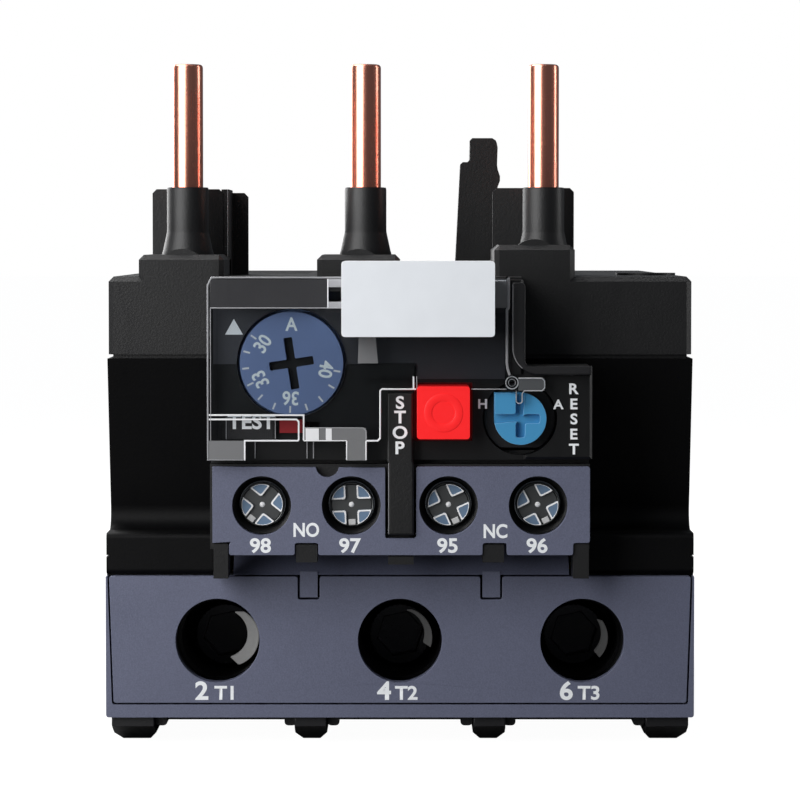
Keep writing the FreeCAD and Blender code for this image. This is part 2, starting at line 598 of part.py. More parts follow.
def test_lever():
    tab = block(TEST_X, (-6.1, -5.35), TEST_Z)
    neck = block((TEST_X[0] + MOVE_GAP, TEST_X[1]), (-5.4, FLANGE_Y[1] - 0.3), (38.4, 38.6))
    flange = block((TEST_X[0] - 0.6, TEST_X[1] + 0.6), FLANGE_Y, (TEST_Z[0] - 0.2, 38.8))
    return join(tab, neck, flange)


def cover_outline():
    left, right = COVER_X
    return [(left, 34.55), (left + 4.5, 34.55), (left + 4.5, 36.95), (left + 1.7, 36.95), (left + 1.7, 39.46),
            (left + 10.62, 39.46), (left + 10.62, 36.95), (-6.25, 36.95), (-6.25, 34.55), (-3.98, 34.55),
            (-3.98, 36.95), (-2.28, 36.95), (-2.28, COVER_LOW), (right, COVER_LOW), (right, COVER_TOP),
            (left + 1.2, COVER_TOP), (left, COVER_TOP - 1.2)]


def clear_cover():
    left, right = COVER_X
    sheet = panel(cover_outline(), (COVER_FRONT, COVER_BACK))
    bar = block((left + 1.2, right), (COVER_FRONT, -6.0), (54.1, COVER_TOP))
    bar = bar.makeChamfer(0.7, edges_where(bar, lambda b: along_x(b) and at(b.YMin, -6.0)))
    side = block((left, left + 1.1), (COVER_FRONT, -5.4), (36.95, 54.0))
    lip = block((left + 11.25, -3.98), (COVER_FRONT, -6.2), (36.95, 38.5))
    sill = block((-2.28, STOP_X[0] - 0.6), (COVER_FRONT, -6.2), (COVER_LOW, COVER_LOW + 0.8))
    seal_x = right + 0.45
    seal_y = (COVER_FRONT - 0.6, COVER_FRONT + 0.2)
    ring = rod_y(seal_x, 43.71, 0.78, seal_y)
    arm = block((seal_x - 0.75, seal_x + 3.88), seal_y, (42.85, 44.2))
    finger = block((seal_x + 0.41, seal_x + 1.19), seal_y, (41.22, 43.4))
    shape = join(sheet, bar, side, lip, sill, ring, arm, finger)
    pin_way = rod_x(HINGE_Y, HINGE_Z, HINGE_R + RUN_CLEARANCE, (left - 1, right + 1))
    cuts = [pin_way, rod_y(seal_x, 43.71, 0.42, (-9, -7))]
    for x in CLIP_X:
        cuts.append(block((x[0] - MOVE_GAP, x[1] + MOVE_GAP), (COVER_FRONT - 0.01, -5), (51.8, 56.5)))
    return shape.cut(cuts)


def label_plate():
    shape = block((-6.5, COVER_X[1] - 1.91), (LABEL_FRONT, COVER_FRONT), (49.08, 57.85))
    return shape.makeChamfer(0.4, edges_where(shape, lambda b: along_y(b) or at(b.YMax, LABEL_FRONT)))


def cover_hinge_pin():
    return rod_x(HINGE_Y, HINGE_Z, HINGE_R, (COVER_X[0] + 2.5, COVER_X[1] - 0.2))


# ------------------------------------------------------------------ terminals

def main_screw(x):
    head = rod_y(x, MAIN_SCREW_Z, MAIN_HEAD_R, (MAIN_HEAD_FRONT, MAIN_HEAD_FRONT + MAIN_HEAD_LENGTH))
    shank = rod_y(x, MAIN_SCREW_Z, MAIN_SHANK_R, (MAIN_HEAD_FRONT + 1, MAIN_SCREW_TIP))
    radius = HEX_FLATS / math.sqrt(3)
    corners = []
    for corner in range(6):
        angle = math.radians(60 * corner)
        corners.append((x + radius * math.cos(angle), MAIN_SCREW_Z + radius * math.sin(angle)))
    return join(head, shank).cut(panel(corners, (MAIN_HEAD_FRONT - 1, MAIN_HEAD_FRONT + HEX_DEPTH)))


def main_cage(x):
    shape = block((x - CAGE_HALF, x + CAGE_HALF), (CAGE_FRONT, CAGE_REAR), CAGE_Z)
    shape = shape.makeChamfer(0.8, edges_where(shape, along_z))
    inner = CAGE_HALF - CAGE_SIDE
    hollow = block((x - inner, x + inner), (CAGE_FRONT + CAGE_WALL, CAGE_REAR - CAGE_REAR_WALL), (0, 30))
    hole = rod_y(x, MAIN_SCREW_Z, MAIN_SHANK_R + RUN_CLEARANCE, (CAGE_FRONT - 1, CAGE_FRONT + CAGE_WALL + 1))
    wall_face = CAGE_REAR - CAGE_REAR_WALL
    grips = []
    for step in range(4):
        z = CAGE_Z[0] + 2.2 + step * 2.2
        grips.append(block((x - inner, x + inner), (wall_face - 0.1, wall_face + 0.5), (z, z + 0.8)))
    return shape.cut([hollow, hole] + grips)


def load_busbar(pole_x, pin_x):
    right = pole_x + BUSBAR_HALF
    top = SHELF_Z + SHELF_THICK
    upright_y = (BUSBAR_FRONT, BUSBAR_FRONT + BUSBAR_THICK)
    upright = block((pole_x - BUSBAR_HALF, right), upright_y, (CAGE_Z[0] + 0.4, top))
    shelf = block((pin_x - 4.0, right), (BUSBAR_FRONT, SHELF_REAR), (SHELF_Z, top))
    shape = join(upright, shelf)
    bend = edges_where(shape, lambda b: along_x(b) and at(b.YMin, BUSBAR_FRONT) and at(b.ZMin, top))
    return shape.makeFillet(1.6, bend)


def contact_pin(x):
    """Round pin turned down where the collar holds it, riveted to a flat strap."""
    pin = rod_z(x, PIN_Y, PIN_RADIUS, (COLLAR_TOP, PIN_TOP))
    pin = pin.makeChamfer(0.45, edges_where(pin, lambda b: at(b.ZMin, PIN_TOP)))
    root = rod_z(x, PIN_Y, PIN_ROOT_R, (STRAP_Z[0], COLLAR_TOP))
    strap = block((x - STRAP_HALF, x + STRAP_HALF), (PIN_Y - 3.0, STRAP_END_Y), STRAP_Z)
    return join(pin, root, strap)


def heater(x):
    """Flat meander ribbon from the end of the strap down to the busbar shelf."""
    thick = 0.8
    y = (STRAP_END_Y, STRAP_END_Y + thick)
    parts = [block((x - 2.6, x + 2.6), y, (39.6, STRAP_Z[1]))]
    level = 39.6
    side = 1
    while level > 26.0:
        edge = x + side * 3.4
        parts.append(block(sorted((edge - side * 1.1, edge)), y, (level - 2.2, level + 1.1)))
        parts.append(block((x - 3.4, x + 3.4), y, (level - 2.2, level - 1.1)))
        level -= 2.2
        side = -side
    parts.append(block((x - 2.0, x + 2.0), y, (SHELF_Z + SHELF_THICK, level)))
    return join(*parts)


def bimetal(x):
    y = (SLIDER_Y[0] + 0.3, SLIDER_Y[1] - 0.3)
    low = SHELF_Z + SHELF_THICK
    strip = block((x - 0.5, x + 0.5), y, (low, 40.4))
    foot = block((x - 0.5, x + 3.8), y, (low, low + 1.0))
    return join(strip, foot)


def aux_screw(x):
    head = rod_y(x, AUX_SCREW_Z, AUX_HEAD_R, AUX_HEAD_Y)
    shank = rod_y(x, AUX_SCREW_Z, AUX_SHANK_R, (AUX_HEAD_Y[0] + 0.5, AUX_SHANK_TIP))
    cross = []
    for half_x, half_z in ((1.75, 0.42), (0.42, 1.75)):
        cross.append(block((x - half_x, x + half_x), (AUX_HEAD_Y[0] - 1, AUX_HEAD_Y[0] + 1.2),
                           (AUX_SCREW_Z - half_z, AUX_SCREW_Z + half_z)))
    return join(head, shank).cut(cross)


def aux_clamp(x):
    half = AUX_CLAMP_HALF
    shape = block((x - half, x + half), AUX_CLAMP_Y, (AUX_SCREW_Z - half, AUX_SCREW_Z + half))
    top = AUX_SCREW_Z + half
    lip = block((x - half, x + half), (AUX_CLAMP_Y[0], AUX_CLAMP_Y[1] + 0.5), (top - 0.7, top))
    return join(shape, lip).cut(rod_y(x, AUX_SCREW_Z, AUX_SHANK_R + RUN_CLEARANCE, (-4, 1)))


def aux_contact(x, closes):
    """Fixed contact: clamped plate, tail through the block's rear wall, contact tip at its end."""
    plate = block((x - 3.2, x + 3.2), AUX_BAR_Y, (AUX_FLOOR, 32.0))
    tail_x = (x + 3.2 - BAR_THICK, x + 3.2)
    tail = block(tail_x, (AUX_BAR_Y[0], 19.0), (28.5, 31.5))
    tip_x = (tail_x[0] - 0.6, tail_x[0]) if closes else (tail_x[1], tail_x[1] + 0.6)
    tip = block(tip_x, (16.0, 18.4), (29.2, 31.4))
    return join(plate, tail, tip).cut(rod_y(x, AUX_SCREW_Z, AUX_SHANK_R + RUN_CLEARANCE, (0, 5)))


# ------------------------------------------------------------------ trip mechanism

def trip_slider():
    bar = block((-HALF + 4.0, LEVER_X - 4.5), SLIDER_Y, SLIDER_Z)
    nose = block((LEVER_X - 5.5, LEVER_X - 1.3), SLIDER_Y, (SLIDER_Z[0], SLIDER_Z[0] + 1.2))
    root = SLIDER_Z[0] + 0.5
    ridge = (sum(SLIDER_Y) / 2, SLIDER_Z[1] - 0.1)
    web = section([(SLIDER_Y[0], root), (SLIDER_Y[1], root), ridge], (LEVER_X - 5.0, LEVER_X - 2.3))
    fingers = []
    for x in PIN_X:
        left = x + 0.5 + 0.4
        fingers.append(block((left, left + 1.6), (SLIDER_Y[0] + 0.4, SLIDER_Y[1] - 0.4), (36.5, root)))
    return join(bar, nose, web, *fingers)


def trip_lever():
    tube = rod_y(LEVER_X, LEVER_Z, 2.3, LEVER_Y)
    arm_x = (LEVER_X - 0.8, LEVER_X + 0.8)
    slider_arm = block(arm_x, (SLIDER_Y[0] + 0.5, SLIDER_Y[1] - 0.5), (38.5, LEVER_Z))
    finger = block(arm_x, (BRIDGE_Y[1] + 0.4, BRIDGE_Y[1] + 2.4), (29.5, LEVER_Z))
    start = BRIDGE_Y[1] + 2
    brace = section([(start, LEVER_Z), (start + 7, LEVER_Z), (start, 38.0)], (LEVER_X - 0.5, LEVER_X + 0.5))
    shape = join(tube, slider_arm, finger, brace)
    return shape.cut(rod_y(LEVER_X, LEVER_Z, LEVER_PIN_R + RUN_CLEARANCE, (0, 90)))


def lever_pin():
    return rod_y(LEVER_X, LEVER_Z, LEVER_PIN_R, (LEVER_Y[0] - 2.4, LEVER_Y[1] + 2.4))


def contact_bridge():
    end = LEVER_X + 2.8
    bar = block((AUX_X[0] - 3.3, end), BRIDGE_Y, BRIDGE_Z)
    hook = block((LEVER_X + 0.8 + 0.8, end), (BRIDGE_Y[1] - 0.5, BRIDGE_Y[1] + 2.6), BRIDGE_Z)
    rib_y = (BRIDGE_Y[0] + 0.6, BRIDGE_Y[1] - 0.6)
    ribs = [block((x - 0.6, x + 0.6), rib_y, (31.5, 34.0)) for x in (-12.0, 0.0, 12.0)]
    return join(bar, hook, *ribs)


def bridge_blade(first_tip, second_tip, reach):
    low = (min(first_tip, second_tip), max(first_tip, second_tip))
    y = (BRIDGE_Y[0] - STRIP, BRIDGE_Y[0])
    strip = block((low[0] - STRIP, low[1] + STRIP) if reach > 0 else low, y, (29.3, 31.7))
    tips = []
    for x in (first_tip, second_tip):
        span = (x - STRIP, x) if reach > 0 else (x, x + STRIP)
        tips.append(block(span, (15.6, BRIDGE_Y[0]), (29.3, 31.5)))
    return join(strip, *tips)


def blade_no():
    gap = BRIDGE_TRAVEL + MOVE_GAP
    tips = [x + 3.2 - BAR_THICK - 0.6 - gap for x in AUX_X[:2]]
    return bridge_blade(tips[0], tips[1], 1)


def blade_nc():
    tips = [x + 3.2 + 0.6 + MOVE_GAP for x in AUX_X[2:]]
    return bridge_blade(tips[0], tips[1], -1)


def assembly():
    nodes = {
        "main_housing": main_housing(), "rear_cover": rear_cover(), "upper_shell": upper_shell(),
        "terminal_plate": terminal_plate(), "terminal_frame": terminal_frame(),
        "aux_lock_strip": aux_lock_strip(), "foot_grid": foot_grid(), "mounting_hook": mounting_hook(),
        "aux_block": aux_block(), "aux_cover": aux_cover(), "stop_guide_bar": stop_guide_bar(),
        "control_housing": control_housing(), "control_fascia": control_fascia(),
        "current_dial": current_dial(), "stop_button": stop_button(),
        "reset_plunger": reset_plunger(), "reset_knob": reset_knob(), "test_lever": test_lever(),
        "clear_cover": clear_cover(), "label_plate": label_plate(), "cover_hinge_pin": cover_hinge_pin(),
        "trip_slider": trip_slider(), "trip_lever": trip_lever(), "lever_pin": lever_pin(),
        "contact_bridge": contact_bridge(), "blade_no": blade_no(), "blade_nc": blade_nc(),
    }
    stop_middle = (sum(STOP_X) / 2, sum(STOP_Z) / 2)
    spring_y = (FLANGE_Y[1], CONTROL_REAR - CONTROL_WALL)
    nodes["stop_spring"] = spring(stop_middle[0], stop_middle[1], 2.3, spring_y, 4, 0.5)
    nodes["reset_spring"] = spring(RESET_X, RESET_Z, 3.4, spring_y, 4, 0.5)
    for index in range(3):
        number = str(index + 1)
        nodes["main_screw_" + number] = main_screw(POLE_X[index])
        nodes["main_cage_" + number] = main_cage(POLE_X[index])
        nodes["load_busbar_" + number] = load_busbar(POLE_X[index], PIN_X[index])
        nodes["contact_pin_" + number] = contact_pin(PIN_X[index])
        nodes["heater_" + number] = heater(PIN_X[index])
        nodes["bimetal_" + number] = bimetal(PIN_X[index])
    for index, name in enumerate(("98", "97", "95", "96")):
        nodes["aux_screw_" + name] = aux_screw(AUX_X[index])
        nodes["aux_clamp_" + name] = aux_clamp(AUX_X[index])
        nodes["aux_contact_" + name] = aux_contact(AUX_X[index], index < 2)
    return nodes


def export(nodes):
    os.makedirs("parts", exist_ok=True)
    middle = (LABEL_FRONT + REAR) / 2
    for name, shape in nodes.items():
        placed = shape.copy()
        placed.translate(Vector(0, -middle, 0))
        placed.exportStep(os.path.join("parts", name + ".step"))


export(assembly())
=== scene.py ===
"""Studio scene of a plug-in thermal overload relay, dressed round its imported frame."""

import logging
import math
from dataclasses import dataclass, field
from enum import Enum
from typing import Any, Optional, Sequence

import bmesh
import bpy
from mathutils import Matrix, Vector


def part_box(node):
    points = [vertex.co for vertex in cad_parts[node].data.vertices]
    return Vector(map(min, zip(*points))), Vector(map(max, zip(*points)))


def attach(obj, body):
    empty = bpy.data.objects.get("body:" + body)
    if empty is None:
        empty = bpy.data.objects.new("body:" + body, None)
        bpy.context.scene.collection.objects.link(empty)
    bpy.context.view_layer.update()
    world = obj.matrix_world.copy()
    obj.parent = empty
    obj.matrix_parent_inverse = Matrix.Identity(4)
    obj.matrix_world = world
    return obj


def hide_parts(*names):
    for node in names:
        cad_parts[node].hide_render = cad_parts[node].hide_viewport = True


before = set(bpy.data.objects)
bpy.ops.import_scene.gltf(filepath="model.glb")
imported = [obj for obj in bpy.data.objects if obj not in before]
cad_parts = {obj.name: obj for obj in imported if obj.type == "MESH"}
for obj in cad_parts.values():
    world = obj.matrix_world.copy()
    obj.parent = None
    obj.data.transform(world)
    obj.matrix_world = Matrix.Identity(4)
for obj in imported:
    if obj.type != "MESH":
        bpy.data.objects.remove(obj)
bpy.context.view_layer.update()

LOG = logging.getLogger("relay")
MM = 0.001
SINK = 0.02 * MM
Point = tuple[float, float]
Colour = tuple[float, float, float]
EVEN: Colour = (1.0, 1.0, 1.0)


class Body(Enum):
    """Bodies of the frame that dressed pieces ride on."""

    RELAY = "relay"
    COVER = "cover"
    DIAL = "dial"
    STOP = "stop"
    RESET = "reset"
    RESET_CAP = "reset_cap"
    TEST = "test"


class Slot(Enum):
    """Material slots of the record."""

    BLACK = "black_plastic"
    GREY = "grey_plastic"
    DIAL = "dial_plastic"
    RED = "red_plastic"
    BLUE = "blue_plastic"
    INNER = "inner_plastic"
    CLEAR = "clear_plastic"
    WHITE = "white_plastic"
    COPPER = "copper"
    BRASS = "busbar_brass"
    ZINC = "zinc_steel"
    SPRING = "spring_steel"
    HEATER = "heater_alloy"
    BIMETAL = "bimetal_strip"


# ---------------------------------------------------------------- shader maths

class Value:
    """A shader value that takes part in Python arithmetic by adding Math nodes."""

    def __init__(self, nodes: "NodeSheet", socket: Any) -> None:
        """Wraps an output socket of the given sheet."""
        self.nodes = nodes
        self.socket = socket

    def _math(self, operation: str, first: Any, second: Any) -> "Value":
        """Adds a Math node.

        Args:
            operation: the node's operation.
            first: value or number of its first input.
            second: value or number of its second input.

        Returns:
            The node's result.
        """
        return self.nodes.add("ShaderNodeMath", {"operation": operation}, {0: first, 1: second})

    def __add__(self, other: Any) -> "Value":
        """self + other."""
        return self._math("ADD", self, other)

    def __radd__(self, other: Any) -> "Value":
        """other + self."""
        return self._math("ADD", other, self)

    def __sub__(self, other: Any) -> "Value":
        """self - other."""
        return self._math("SUBTRACT", self, other)

    def __rsub__(self, other: Any) -> "Value":
        """other - self."""
        return self._math("SUBTRACT", other, self)

    def __mul__(self, other: Any) -> "Value":
        """self * other."""
        return self._math("MULTIPLY", self, other)

    def __rmul__(self, other: Any) -> "Value":
        """other * self."""
        return self._math("MULTIPLY", other, self)


class NodeSheet:
    """The node tree of one material or world."""

    def __init__(self, tree: Any) -> None:
        """Empties the tree and keeps it."""
        self.tree = tree
        tree.nodes.clear()

    def node(self, kind: str, settings: Optional[dict[str, Any]] = None,
             inputs: Optional[dict[Any, Any]] = None) -> Any:
        """Adds one node.

        Args:
            kind: the node's type.
            settings: properties, or "stops" for a colour ramp, set before the inputs.
            inputs: numbers, colours or values by input name or index.

        Returns:
            The node itself.
        """
        made = self.tree.nodes.new(kind)
        for name, setting in (settings or {}).items():
            if name == "stops":
                ramp = made.color_ramp
                for index, (place, shade) in enumerate(setting):
                    stop = ramp.elements[index] if index < 2 else ramp.elements.new(place)
                    stop.position = place
                    stop.color = (shade, shade, shade, 1.0)
            else:
                setattr(made, name, setting)
        for name, given in (inputs or {}).items():
            socket = made.inputs[name]
            if isinstance(given, Value):
                self.tree.links.new(given.socket, socket)
            else:
                socket.default_value = given
        return made

    def add(self, kind: str, settings: Optional[dict[str, Any]] = None,
            inputs: Optional[dict[Any, Any]] = None, output: Any = 0) -> Value:
        """Adds one node and wraps one of its outputs.

        Args:
            kind: the node's type.
            settings: properties to set first.
            inputs: numbers, colours or values by input.
            output: the output wanted, by name or index.

        Returns:
            The wrapped output.
        """
        return Value(self, self.node(kind, settings, inputs).outputs[output])

    def place(self, stretch: Colour = EVEN) -> Value:
        """Object coordinates, stretched per axis."""
        here = self.add("ShaderNodeTexCoord", output="Object")
        return self.add("ShaderNodeVectorMath", {"operation": "MULTIPLY"}, {0: here, 1: stretch})

    def noise(self, where: Value, scale: float, detail: float = 2.0) -> Value:
        """Noise at so many cycles per metre, from 0 to 1."""
        return self.add("ShaderNodeTexNoise", {}, {"Vector": where, "Scale": scale, "Detail": detail})

    def ramp(self, value: Value, low: float, high: float) -> Value:
        """Smooth step of a value from 0 at low to 1 at high."""
        stops = [(low, 0.0), (high, 1.0)]
        return self.add("ShaderNodeValToRGB", {"stops": stops}, {"Fac": value})

    def blend(self, factor: Any, first: Colour, second: Colour) -> Value:
        """Mixes two colours by a factor."""
        inputs = {0: factor, 6: (*first, 1.0), 7: (*second, 1.0)}
        return self.add("ShaderNodeMix", {"data_type": "RGBA"}, inputs, output=2)

    def bump(self, height: Value, strength: float, distance: float) -> Value:
        """Normal from a height."""
        return self.add("ShaderNodeBump", {}, {"Height": height, "Strength": strength, "Distance": distance})

    def finish(self, shader: Value, kind: str = "ShaderNodeOutputMaterial") -> None:
        """Links the closing shader to the output."""
        self.node(kind, {}, {"Surface": shader})


def scaled(colour: Colour, factor: float) -> Colour:
    """The colour made lighter or darker by a factor."""
    return tuple(min(1.0, part * factor) for part in colour)


def new_sheet(name: str) -> tuple[Any, NodeSheet]:
    """Makes an empty node material and its sheet.

    Args:
        name: the material's name.

    Returns:
        The material, and the sheet on its node tree.
    """
    material = bpy.data.materials.new(name)
    material.use_nodes = True
    return material, NodeSheet(material.node_tree)


# ---------------------------------------------------------------- finishes

@dataclass(frozen=True)
class MouldedPlastic:
    """Injection-moulded plastic with a fine spark-eroded grain."""

    name: str
    colour: Colour
    roughness: float = 0.5
    grain: float = 0.00022
    depth: float = 0.5
    mottling: float = 0.08
    specular: float = 0.5

    def build(self) -> Any:
        """Makes the material.

        Returns:
            The finished material.
        """
        material, sheet = new_sheet(self.name)
        here = sheet.place()
        cloud = sheet.noise(here, 140.0, 3.0)
        grain = sheet.noise(here, 1.0 / self.grain, 2.0)
        speckle = cloud * 0.4 + sheet.ramp(sheet.noise(here, 1.6 / self.grain, 3.0), 0.34, 0.66) * 0.6
        rub = sheet.ramp(sheet.noise(sheet.place((1.0, 1.0, 0.25)), 620.0, 4.0), 0.56, 0.74)
        light = scaled(self.colour, 1.0 + self.mottling)
        dark = scaled(self.colour, 1.0 - self.mottling)
        shader = sheet.add("ShaderNodeBsdfPrincipled", {}, {
            "Base Color": sheet.blend(speckle, dark, light),
            "Roughness": self.roughness + (cloud - 0.5) * 0.1 - rub * 0.05,
            "Specular IOR Level": self.specular,
            "Normal": sheet.bump(grain, self.depth, self.grain * 0.16),
        })
        sheet.finish(shader)
        return material


@dataclass(frozen=True)
class PolishedPlastic:
    """Smooth coloured plastic of buttons, dial and label."""

    name: str
    colour: Colour
    roughness: float = 0.3
    ripple: float = 0.12
    glow: float = 0.0

    def build(self) -> Any:
        """Makes the material.

        Returns:
            The finished material.
        """
        material, sheet = new_sheet(self.name)
        here = sheet.place()
        cloud = sheet.noise(here, 220.0, 2.0)
        fine = sheet.noise(here, 2600.0, 3.0)
        shader = sheet.add("ShaderNodeBsdfPrincipled", {}, {
            "Base Color": sheet.blend(cloud, scaled(self.colour, 0.95), scaled(self.colour, 1.05)),
            "Roughness": self.roughness + (fine - 0.5) * 0.12,
            "Normal": sheet.bump(fine, self.ripple, 0.00003),
            # The emission is painted light: a glow that makes the surface brighter than the lamps alone.
            "Emission Color": sheet.blend(fine, scaled(self.colour, 0.75), scaled(self.colour, 1.25)),
            "Emission Strength": self.glow,
        })
        sheet.finish(shader)
        return material


@dataclass(frozen=True)
class DrawnMetal:
    """Drawn, rolled or plated metal with fine streaks along one axis."""

    name: str
    colour: Colour
    tarnish: Colour
    roughness: float = 0.22
    stretch: Colour = (1.0, 1.0, 0.02)
    streak: float = 0.25
    patches: float = 0.35
    metallic: float = 1.0

    def build(self) -> Any:
        """Makes the material.

        Returns:
            The finished material.
        """
        material, sheet = new_sheet(self.name)
        lines = sheet.noise(sheet.place(self.stretch), 5200.0, 4.0)
        patch = sheet.ramp(sheet.noise(sheet.place(), 260.0, 4.0), 0.45, 0.75)
        shader = sheet.add("ShaderNodeBsdfPrincipled", {}, {
            "Base Color": sheet.blend(patch * self.patches, self.colour, self.tarnish),
            "Metallic": self.metallic,
            "Roughness": self.roughness + (lines - 0.5) * 0.16 + patch * 0.05,
            "Normal": sheet.bump(lines, self.streak, 0.00001),
        })
        sheet.finish(shader)
        return material


@dataclass(frozen=True)
class ClearPlastic:
    """Clear polycarbonate: see-through, with a reflection that grows at a glance."""

    name: str
    tint: Colour
    haze: float
    roughness: float = 0.06

    def build(self) -> Any:
        """Makes the material.

        Returns:
            The finished material.
        """
        material, sheet = new_sheet(self.name)
        ripple = sheet.noise(sheet.place(), 90.0, 2.0)
        scuff = sheet.ramp(sheet.noise(sheet.place((1.0, 1.0, 0.3)), 900.0, 5.0), 0.62, 0.82)
        normal = sheet.bump(ripple, 0.12, 0.0004)
        gloss = sheet.add("ShaderNodeBsdfPrincipled", {}, {
            "Base Color": (*self.tint, 1.0),
            "Roughness": self.roughness + scuff * 0.2,
            "Specular IOR Level": 0.7,
            "Normal": normal,
        })
        through = sheet.add("ShaderNodeBsdfTransparent", {}, {"Color": (0.93, 0.95, 0.96, 1.0)})
        glance = sheet.add("ShaderNodeFresnel", {}, {"IOR": 1.52})
        share = self.haze + glance * 0.75 + scuff * 0.015
        sheet.finish(sheet.add("ShaderNodeMixShader", {}, {0: share, 1: through, 2: gloss}))
        return material


@dataclass(frozen=True)
class PrintedInk:
    """Flat pad-printed ink with a faint painted glow."""

    name: str
    colour: Colour

    def build(self) -> Any:
        """Makes the material.

        Returns:
            The finished material.
        """
        material, sheet = new_sheet(self.name)
        speck = sheet.noise(sheet.place(), 3500.0, 2.0)
        shader = sheet.add("ShaderNodeBsdfPrincipled", {}, {
            "Base Color": sheet.blend(speck, scaled(self.colour, 0.93), self.colour),
            "Roughness": 0.55 + (speck - 0.5) * 0.1,
            # Painted light: a faint glow keeps the print bright where shade falls on it.
            "Emission Color": (*self.colour, 1.0),
            "Emission Strength": 0.12,
        })
        sheet.finish(shader)
        return material


class Finishes:
    """All finishes of the relay, built once."""

    def __init__(self) -> None:
        """Builds every material."""
        self._mouldings()
        self._coloured()
        self._metals()
        self._clears()

    def _mouldings(self) -> None:
        """Builds the grained plastics of the mouldings."""
        self.casing = MouldedPlastic("casing_black", (0.005, 0.005, 0.0055), roughness=0.46, grain=0.00026,
                                     depth=0.55).build()
        self.satin_black = MouldedPlastic("satin_black", (0.004, 0.004, 0.0045), roughness=0.36,
                                          grain=0.00018, depth=0.25).build()
        self.base = MouldedPlastic("base_black", (0.0016, 0.0016, 0.0019), grain=0.00026, mottling=0.03,
                                   specular=0.14).build()
        self.panel = MouldedPlastic("panel_black", (0.009, 0.009, 0.0105), roughness=0.42, depth=0.4).build()
        self.grey = MouldedPlastic("blue_grey", (0.116, 0.126, 0.189), grain=0.00024, depth=0.6,
                                   mottling=0.16).build()
        self.inner = MouldedPlastic("inner_brown", (0.12, 0.1, 0.07)).build()
        # Painted sheen: the lighter field over the fascia behind the cover.
        self.painted_sheen = MouldedPlastic("painted_sheen_field", (0.05, 0.049, 0.057), roughness=0.4, grain=0.0002,
                                     depth=0.2).build()
        self.smoked_bar = MouldedPlastic("smoked_bar", (0.03, 0.03, 0.033), roughness=0.35, grain=0.0002,
                                         depth=0.2).build()

    def _coloured(self) -> None:
        """Builds the smooth coloured plastics and the inks."""
        self.dial = PolishedPlastic("dial_blue_grey", (0.225, 0.315, 0.59), roughness=0.4).build()
        # The signal red glows a little, painted light that brightens its face.
        self.red = PolishedPlastic("signal_red", (1.0, 0.016, 0.018), roughness=0.35, glow=0.22).build()
        self.tab_red = PolishedPlastic("tab_red", (0.27, 0.009, 0.014), roughness=0.4).build()
        self.blue = PolishedPlastic("reset_blue", (0.062, 0.3, 0.56), roughness=0.35).build()
        # A lighter blue for painted highlights on the reset knob's rounded edges.
        self.blue_painted_highlight = PolishedPlastic("reset_blue_painted_highlight", (0.2, 0.5, 0.8), roughness=0.35).build()
        self.white = PolishedPlastic("label_white", (0.87, 0.9, 0.94), roughness=0.38, ripple=0.06).build()
        # A glowing white for painted highlights on the label's rounded edges.
        self.label_painted_highlight = PolishedPlastic("label_painted_highlight", (1.0, 1.0, 1.0), ripple=0.06, glow=0.15).build()
        # Glowing lighter and darker greys, painted highlights for the lit side of the screw tubes and the
        # slot ends.
        self.painted_highlight_wall = PolishedPlastic("painted_highlight_wall", (0.42, 0.42, 0.42), 0.5, ripple=0.4, glow=0.3).build()
        self.painted_dim_highlight_wall = PolishedPlastic("painted_dim_highlight_wall", (0.2, 0.2, 0.2), 0.4, ripple=0.4, glow=0.15).build()
        self.ink = PrintedInk("white_ink", (0.8, 0.82, 0.84)).build()
        self.dial_ink = PrintedInk("dial_ink", (0.9, 0.97, 1.0)).build()

    def _metals(self) -> None:
        """Builds the metals of pins, screws, springs and strips."""
        self.copper = DrawnMetal("bare_copper", (0.97, 0.38, 0.27), (0.86, 0.26, 0.17), 0.24).build()
        self.brass = DrawnMetal("stamped_brass", (0.86, 0.66, 0.34), (0.6, 0.42, 0.2), 0.28).build()
        self.spring = DrawnMetal("spring_steel", (0.5, 0.5, 0.52), (0.36, 0.35, 0.34), 0.26).build()
        self.heater = DrawnMetal("heater_ribbon", (0.42, 0.38, 0.35), (0.25, 0.2, 0.17), 0.4).build()
        self.zinc = DrawnMetal("bright_zinc", (0.66, 0.7, 0.75), (0.5, 0.53, 0.56), 0.2, stretch=EVEN,
                               streak=0.12).build()
        self.oxide = DrawnMetal("black_oxide", (0.035, 0.035, 0.038), (0.06, 0.058, 0.055), 0.3,
                                stretch=EVEN, streak=0.2).build()
        self.recess = DrawnMetal("screw_recess", (0.16, 0.165, 0.165), (0.1, 0.1, 0.1), 0.38, stretch=EVEN,
                                 streak=0.2).build()
        self.head = DrawnMetal("screw_head_blue", (0.2, 0.3, 0.44), (0.13, 0.18, 0.27), 0.42, stretch=EVEN,
                               streak=0.15, metallic=0.5).build()
        # A white matt finish for painted highlights: the clamp screws' edges, rims and centre glint.
        self.painted_head_highlight = DrawnMetal("screw_head_painted_highlight", (1.0, 1.0, 1.0), (0.8, 0.82, 0.85), 0.3, stretch=EVEN,
                                    streak=0.1, patches=0.2, metallic=0.0).build()

    def _clears(self) -> None:
        """Builds the clear cover's pane, the paler finishes of its painted highlight lines, and its frosted
        plastic.
        """
        self.clear = ClearPlastic("clear_cover", (0.03, 0.03, 0.033), haze=0.0).build()
